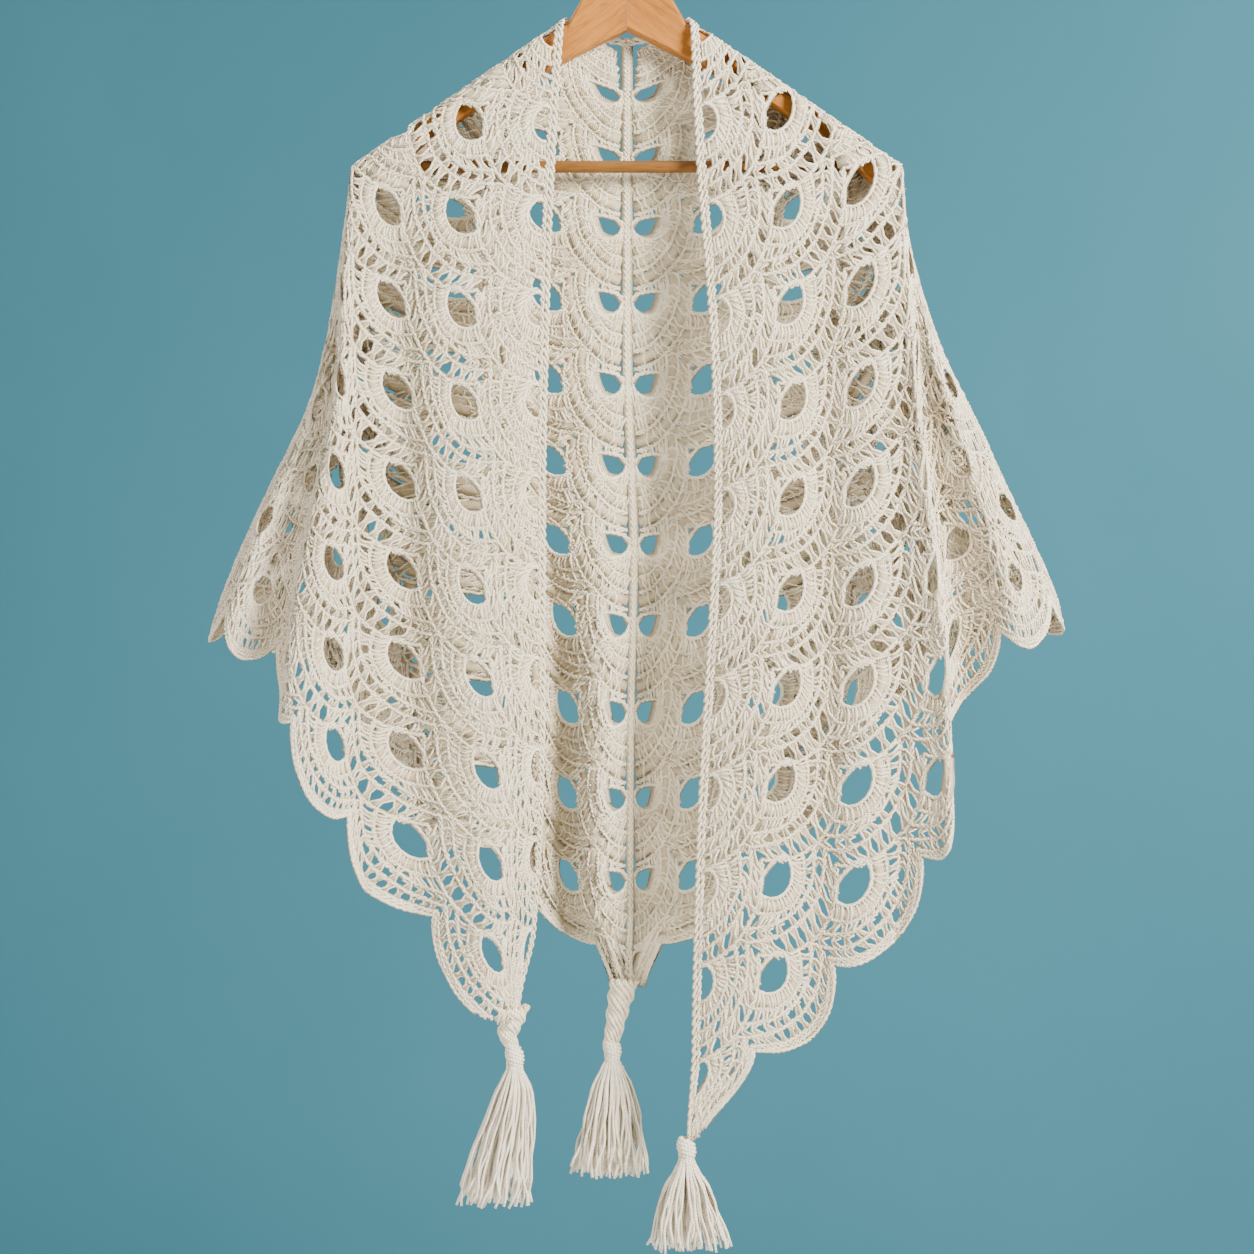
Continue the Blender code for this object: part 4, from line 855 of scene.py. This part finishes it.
def plug(tree, socket, value):
    """Link a socket to another, or set it to a number or a colour."""
    if isinstance(value, bpy.types.NodeSocket):
        tree.links.new(value, socket)
    else:
        socket.default_value = (*value, 1.0) if isinstance(value, tuple) else value


def maths(tree, operation, a, b=None):
    made = node(tree, "Math")
    made.operation = operation
    plug(tree, made.inputs[0], a)
    if b is not None:
        plug(tree, made.inputs[1], b)
    return made.outputs["Value"]


def scaled(tree, value, times, plus):
    """A value times one number plus another."""
    return maths(tree, "ADD", maths(tree, "MULTIPLY", value, times), plus)


def mixed(tree, how, share, a, b):
    made = node(tree, "Mix")
    made.data_type = "RGBA"
    made.blend_type = how
    for word, value in (("Factor", share), ("A", a), ("B", b)):
        plug(tree, made.inputs[word], value)
    return made.outputs["Result"]


def stretched(tree, vector, by):
    """A place stretched along each axis."""
    made = node(tree, "VectorMath")
    made.operation = "MULTIPLY"
    made.inputs[1].default_value = by
    tree.links.new(vector, made.inputs[0])
    return made.outputs["Vector"]


def twisted_yarn():
    """Plies that wind round each strand, by its UVs: u goes round, v is centimetres along. Its
    groove output marks where painted shade between the plies goes.
    """
    tree, given, out = group("twisted_yarn",
                             (("Plies", "Float", 3.0), ("Turns per cm", "Float", 1.25)),
                             (("Ply", "Float"), ("GrooveShade", "Float")))
    uv = node(tree, "SeparateXYZ")
    read = node(tree, "UVMap")
    read.uv_map = "UVMap"
    tree.links.new(read.outputs["UV"], uv.inputs["Vector"])
    along = maths(tree, "MULTIPLY", uv.outputs["Y"], given.outputs["Turns per cm"])
    turn = maths(tree, "ADD", uv.outputs["X"], along)
    turn = maths(tree, "MULTIPLY", turn, given.outputs["Plies"])
    wave = maths(tree, "ABSOLUTE", maths(tree, "SINE", maths(tree, "MULTIPLY", turn, math.pi)))
    groove_shade = maths(tree, "POWER", maths(tree, "SUBTRACT", 1.0, wave), 2.0)
    tree.links.new(wave, out.inputs["Ply"])
    tree.links.new(groove_shade, out.inputs["GrooveShade"])
    return tree


def soft_mottle():
    """Broad and fine unevenness over a surface, both from 0 to 1."""
    tree, given, out = group("soft_mottle",
                             (("Broad", "Float", 12.0), ("Fine", "Float", 900.0)),
                             (("Patch", "Float"), ("Fuzz", "Float")))
    place = node(tree, "TexCoord").outputs["Object"]
    for word, socket, detail in (("Broad", "Patch", 3.0), ("Fine", "Fuzz", 2.0)):
        noise = node(tree, "TexNoise", Detail=detail, Roughness=0.6)
        tree.links.new(place, noise.inputs["Vector"])
        tree.links.new(given.outputs[word], noise.inputs["Scale"])
        tree.links.new(noise.outputs["Fac"], out.inputs[socket])
    return tree


def wood_grain():
    """Long grain and short pores along the X of the vector that it is given."""
    tree, given, out = group("wood_grain", (("Vector", "Vector", None), ("Rings", "Float", 210.0)),
                             (("Grain", "Float"), ("Pores", "Float")))
    wander = node(tree, "TexNoise", Scale=9.0, Detail=2.0)
    tree.links.new(given.outputs["Vector"], wander.inputs["Vector"])
    rings = node(tree, "TexNoise", Detail=4.0, Roughness=0.65)
    long = stretched(tree, given.outputs["Vector"], (0.07, 1.0, 1.0))
    tree.links.new(long, rings.inputs["Vector"])
    tree.links.new(given.outputs["Rings"], rings.inputs["Scale"])
    grain = maths(tree, "ADD", maths(tree, "MULTIPLY", rings.outputs["Fac"], 0.8),
                  maths(tree, "MULTIPLY", wander.outputs["Fac"], 0.35))
    pores = node(tree, "TexNoise", Scale=1.0, Detail=1.0)
    short = stretched(tree, given.outputs["Vector"], (90.0, 1900.0, 1900.0))
    tree.links.new(short, pores.inputs["Vector"])
    tree.links.new(maths(tree, "SUBTRACT", grain, 0.075), out.inputs["Grain"])
    tree.links.new(pores.outputs["Fac"], out.inputs["Pores"])
    return tree


def instance(tree, kind, **values):
    """Place a node group in a material with its own values."""
    made = node(tree, "Group")
    made.node_tree = kind
    set_inputs(made, values)
    return made


def new_material(name, **constants):
    made = bpy.data.materials.new(name)
    made.use_nodes = True
    shader = made.node_tree.nodes["Principled BSDF"]
    set_inputs(shader, constants)
    return made, made.node_tree, shader


def surface(tree, shader, colour, rough, height, strength, distance):
    """Give a material its colour, its roughness as (socket, times, plus), and its bump."""
    tree.links.new(colour, shader.inputs["Base Color"])
    tree.links.new(scaled(tree, *rough), shader.inputs["Roughness"])
    made = node(tree, "Bump", Strength=strength, Distance=distance)
    tree.links.new(height, made.inputs["Height"])
    tree.links.new(made.outputs["Normal"], shader.inputs["Normal"])


def cotton_yarn(name, pale, deep):
    """Soft matt cotton with plies, fuzz, a slight change of tone at random, and painted shade
    darkening the grooves between its plies.
    """
    made, tree, shader = new_material(name, Sheen_Weight=0.15, Sheen_Roughness=0.5,
                                      Specular_IOR_Level=0.25)
    ply = instance(tree, TWIST)
    patch = instance(tree, MOTTLE, Broad=16.0, Fine=1100.0)
    strand = instance(tree, MOTTLE, Broad=260.0, Fine=2600.0)
    shade = ramp(tree, patch.outputs["Patch"], ((0.3, deep), (0.62, pale)))
    dim = ramp(tree, strand.outputs["Patch"], ((0.35, (0.7,) * 3), (0.6, (0.0,) * 3)))
    uneven = mixed(tree, "MULTIPLY", dim, shade, (0.84, 0.78, 0.68))
    # Painted shade: the grooves between the plies are darkened towards a warm brown.
    groove_shaded = mixed(tree, "MULTIPLY", maths(tree, "MULTIPLY", ply.outputs["GrooveShade"], 0.8),
                    uneven, (0.60, 0.48, 0.32))
    height = scaled(tree, patch.outputs["Fuzz"], 0.6, ply.outputs["Ply"])
    surface(tree, shader, groove_shaded, (patch.outputs["Fuzz"], 0.25, 0.75), height, 0.75, 0.0005)
    return made


def hanger_wood(name, slope, pale, deep):
    """Varnished light brown wood whose grain runs at a slope from level."""
    made, tree, shader = new_material(name, Specular_IOR_Level=0.25)
    turned = node(tree, "Mapping")
    turned.inputs["Rotation"].default_value = (0.0, math.radians(slope), 0.0)
    tree.links.new(node(tree, "TexCoord").outputs["Object"], turned.inputs["Vector"])
    lines = instance(tree, GRAIN)
    tree.links.new(turned.outputs["Vector"], lines.inputs["Vector"])
    patch = instance(tree, MOTTLE, Broad=22.0, Fine=600.0)
    middle = tuple((a + b) / 2 for a, b in zip(pale, deep))
    base = ramp(tree, lines.outputs["Grain"], ((0.32, deep), (0.5, middle), (0.66, pale)))
    open_pores = ramp(tree, lines.outputs["Pores"], ((0.30, (0.8,) * 3), (0.42, (0.0,) * 3)))
    pored = mixed(tree, "MULTIPLY", open_pores, base, (0.45, 0.33, 0.22))
    worn = mixed(tree, "MIX", maths(tree, "MULTIPLY", patch.outputs["Patch"], 0.3), pored, pale)
    height = maths(tree, "ADD", lines.outputs["Grain"], lines.outputs["Pores"])
    surface(tree, shader, worn, (lines.outputs["Grain"], 0.2, 0.42), height, 0.25, 0.0003)
    return made


def brushed_wire(name):
    made, tree, shader = new_material(name, Metallic=1.0)
    patch = instance(tree, MOTTLE, Broad=60.0, Fine=2500.0)
    stops = ((0.3, (0.52, 0.52, 0.50)), (0.7, (0.70, 0.70, 0.68)))
    tone = ramp(tree, patch.outputs["Patch"], stops)
    fuzz = patch.outputs["Fuzz"]
    surface(tree, shader, tone, (fuzz, 0.2, 0.2), fuzz, 0.1, 0.0001)
    return made


def plain_paint(name, pale, deep):
    """Matt paint for the floor and the backdrop."""
    made, tree, shader = new_material(name, Specular_IOR_Level=0.15)
    patch = instance(tree, MOTTLE, Broad=1.5, Fine=160.0)
    tone = ramp(tree, patch.outputs["Patch"], ((0.3, deep), (0.7, pale)))
    fuzz = patch.outputs["Fuzz"]
    surface(tree, shader, tone, (fuzz, 0.1, 0.85), fuzz, 0.05, 0.001)
    return made


# Putting it together

TWIST = twisted_yarn()
MOTTLE = soft_mottle()
GRAIN = wood_grain()
PALE_COTTON = cotton_yarn("cotton_yarn", (0.95, 0.875, 0.695), (0.90, 0.80, 0.61))
# A touch yellower copy of the front's cotton: a painted tint of the warm shade inside the back.
BACK_COTTON_SHADE_TINT = cotton_yarn("cotton_yarn_back_shade_tint", (0.95, 0.88, 0.69), (0.90, 0.81, 0.605))
TASSEL_COTTON = cotton_yarn("cotton_tassel", (0.96, 0.905, 0.775), (0.92, 0.85, 0.70))
# Painted shade: the cores are the same yarn made darker and warmer, for the shade that falls
# between and under the strands.
SHADED_CORE_COTTON = cotton_yarn("cotton_core_painted_shade", (0.66, 0.56, 0.385), (0.56, 0.465, 0.30))
ARM_SLOPE = 38.0
ARM_TONES = ((0.455, 0.172, 0.024), (0.21, 0.068, 0.007))
BAR_TONES = ((0.22, 0.091, 0.013), (0.12, 0.044, 0.005))
WIRE = brushed_wire("hook_wire")
HANGER = {
    "hanger_arm_right": hanger_wood("wood_arm_right", -ARM_SLOPE, *ARM_TONES),
    "hanger_arm_left": hanger_wood("wood_arm_left", ARM_SLOPE, *ARM_TONES),
    "hanger_bar": hanger_wood("wood_bar", 0.0, *BAR_TONES),
    "hanger_hook": WIRE,
    "hanger_collar": WIRE,
}
for word, finish in HANGER.items():
    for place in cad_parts[word].material_slots:
        place.material = finish


def stand_in(piece, replaced):
    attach(piece, "root")
    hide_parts(replaced)


tassels = {}
for number, (word, sizes) in enumerate(TASSELS.items()):
    tassels[word] = tassel("yarn_tassel_" + word, 31 + number, **sizes)
    stand_in(tassels[word], "tassel_" + word)
twists = {}
for word, stations in TWISTS.items():
    twists[word] = rope("yarn_twist_" + word, stations)
    stand_in(twists[word], "twist_" + word)

# Lace and chains of each stretch on both halves, standing in for the model's cloth parts
for side, hand, seed in ((RIGHT, "right", 5), (LEFT, "left", 8)):
    skein = crochet(side, seed)
    for word in STRETCHES:
        # The back's cotton is tinted a touch yellower as painted shade; the cores take the darker
        # core cotton, also painted shade.
        finish = [BACK_COTTON_SHADE_TINT if word == "back" else PALE_COTTON, SHADED_CORE_COTTON]
        place = word + "_" + hand
        lace = wind("lace_" + place, spin_yarn(side, skein.posts[word]), finish)
        chain = wind("chain_" + place, spin_yarn(side, skein.chains[word]), finish)
        stand_in(lace, "shawl_" + place)
        stand_in(chain, "shawl_" + place)


def painted_board(name, size, where, tilt, finish):
    """A plain board of the studio, which isn't part of the object."""
    bpy.ops.object.select_all(action="DESELECT")
    bpy.ops.mesh.primitive_plane_add(size=1.0, location=where, rotation=(tilt, 0.0, 0.0))
    made = bpy.context.object
    made.name = made.data.name = name
    made.scale = (*size, 1.0)
    bpy.ops.object.transform_apply(location=True, rotation=True, scale=True)
    made.data.materials.append(finish)


WALL_Y = 3.6  # far enough back to be seen round from behind
FLOOR_Z = -2.0
BOARD_WIDTH = 10.0
WALL_HEIGHT = 6.0
FLOOR_DEPTH = 9.6
painted_board("backdrop", (BOARD_WIDTH, WALL_HEIGHT), (0.0, WALL_Y, FLOOR_Z + WALL_HEIGHT / 2),
              math.pi / 2,
              plain_paint("backdrop_paint", (0.070, 0.244, 0.310), (0.065, 0.232, 0.296)))
painted_board("floor", (BOARD_WIDTH, FLOOR_DEPTH), (0.0, WALL_Y - FLOOR_DEPTH / 2, FLOOR_Z), 0.0,
              plain_paint("floor_paint", (0.72, 0.72, 0.70), (0.68, 0.68, 0.66)))

# Camera: the frame is 1.036 m wide where the shawl hangs
VIEW_DISTANCE = 2.4
HALF_FRAME = 0.5179
VIEW_Z = -0.6048
SENSOR = 36.0  # mm
lens = bpy.data.cameras.new("camera")
lens.sensor_width = SENSOR
lens.lens = SENSOR / 2 * VIEW_DISTANCE / HALF_FRAME
camera = bpy.data.objects.new("camera", lens)
camera.location = (0.0, -VIEW_DISTANCE, VIEW_Z)
camera.rotation_euler = (math.pi / 2, 0.0, 0.0)
bpy.context.scene.collection.objects.link(camera)
bpy.context.scene.camera = camera


# Name: (where it is, what it is turned to, size, watts, colour)
LIGHTS = {
    "window": ((1.8, -1.6, 0.4), (0.0, 0.0, -0.65), 0.9, 240.0, (1.0, 0.982, 0.945)),
    "bounce": ((-1.4, -1.5, -1.15), (-0.35, 0.6, -1.0), 1.6, 36.0, (1.0, 0.98, 0.95)),
    "above": ((0.2, -0.2, 1.4), (0.0, 0.1, -0.5), 1.4, 34.0, (0.98, 0.98, 0.98)),
    "behind": ((-1.5, 2.2, 0.4), (0.0, 0.0, -0.6), 1.5, 80.0, (1.0, 0.975, 0.94)),
    "corner": ((2.9, 2.0, 0.9), (1.3, 3.6, 0.1), 1.2, 62.0, (1.0, 1.0, 1.0)),
}
for name, (where, aim, size, power, colour) in LIGHTS.items():
    lamp = bpy.data.lights.new(name, "AREA")
    lamp.shape = "DISK"
    lamp.size, lamp.energy, lamp.color = size, power, colour
    made = bpy.data.objects.new(name, lamp)
    made.location = where
    made.rotation_euler = (Vector(aim) - Vector(where)).to_track_quat("-Z", "Y").to_euler()
    made.visible_camera = False
    bpy.context.scene.collection.objects.link(made)

world = bpy.data.worlds.new("studio_air")
world.use_nodes = True
set_inputs(world.node_tree.nodes["Background"],
           {"Color": (0.80, 0.83, 0.86, 1.0), "Strength": 0.22})
bpy.context.scene.world = world
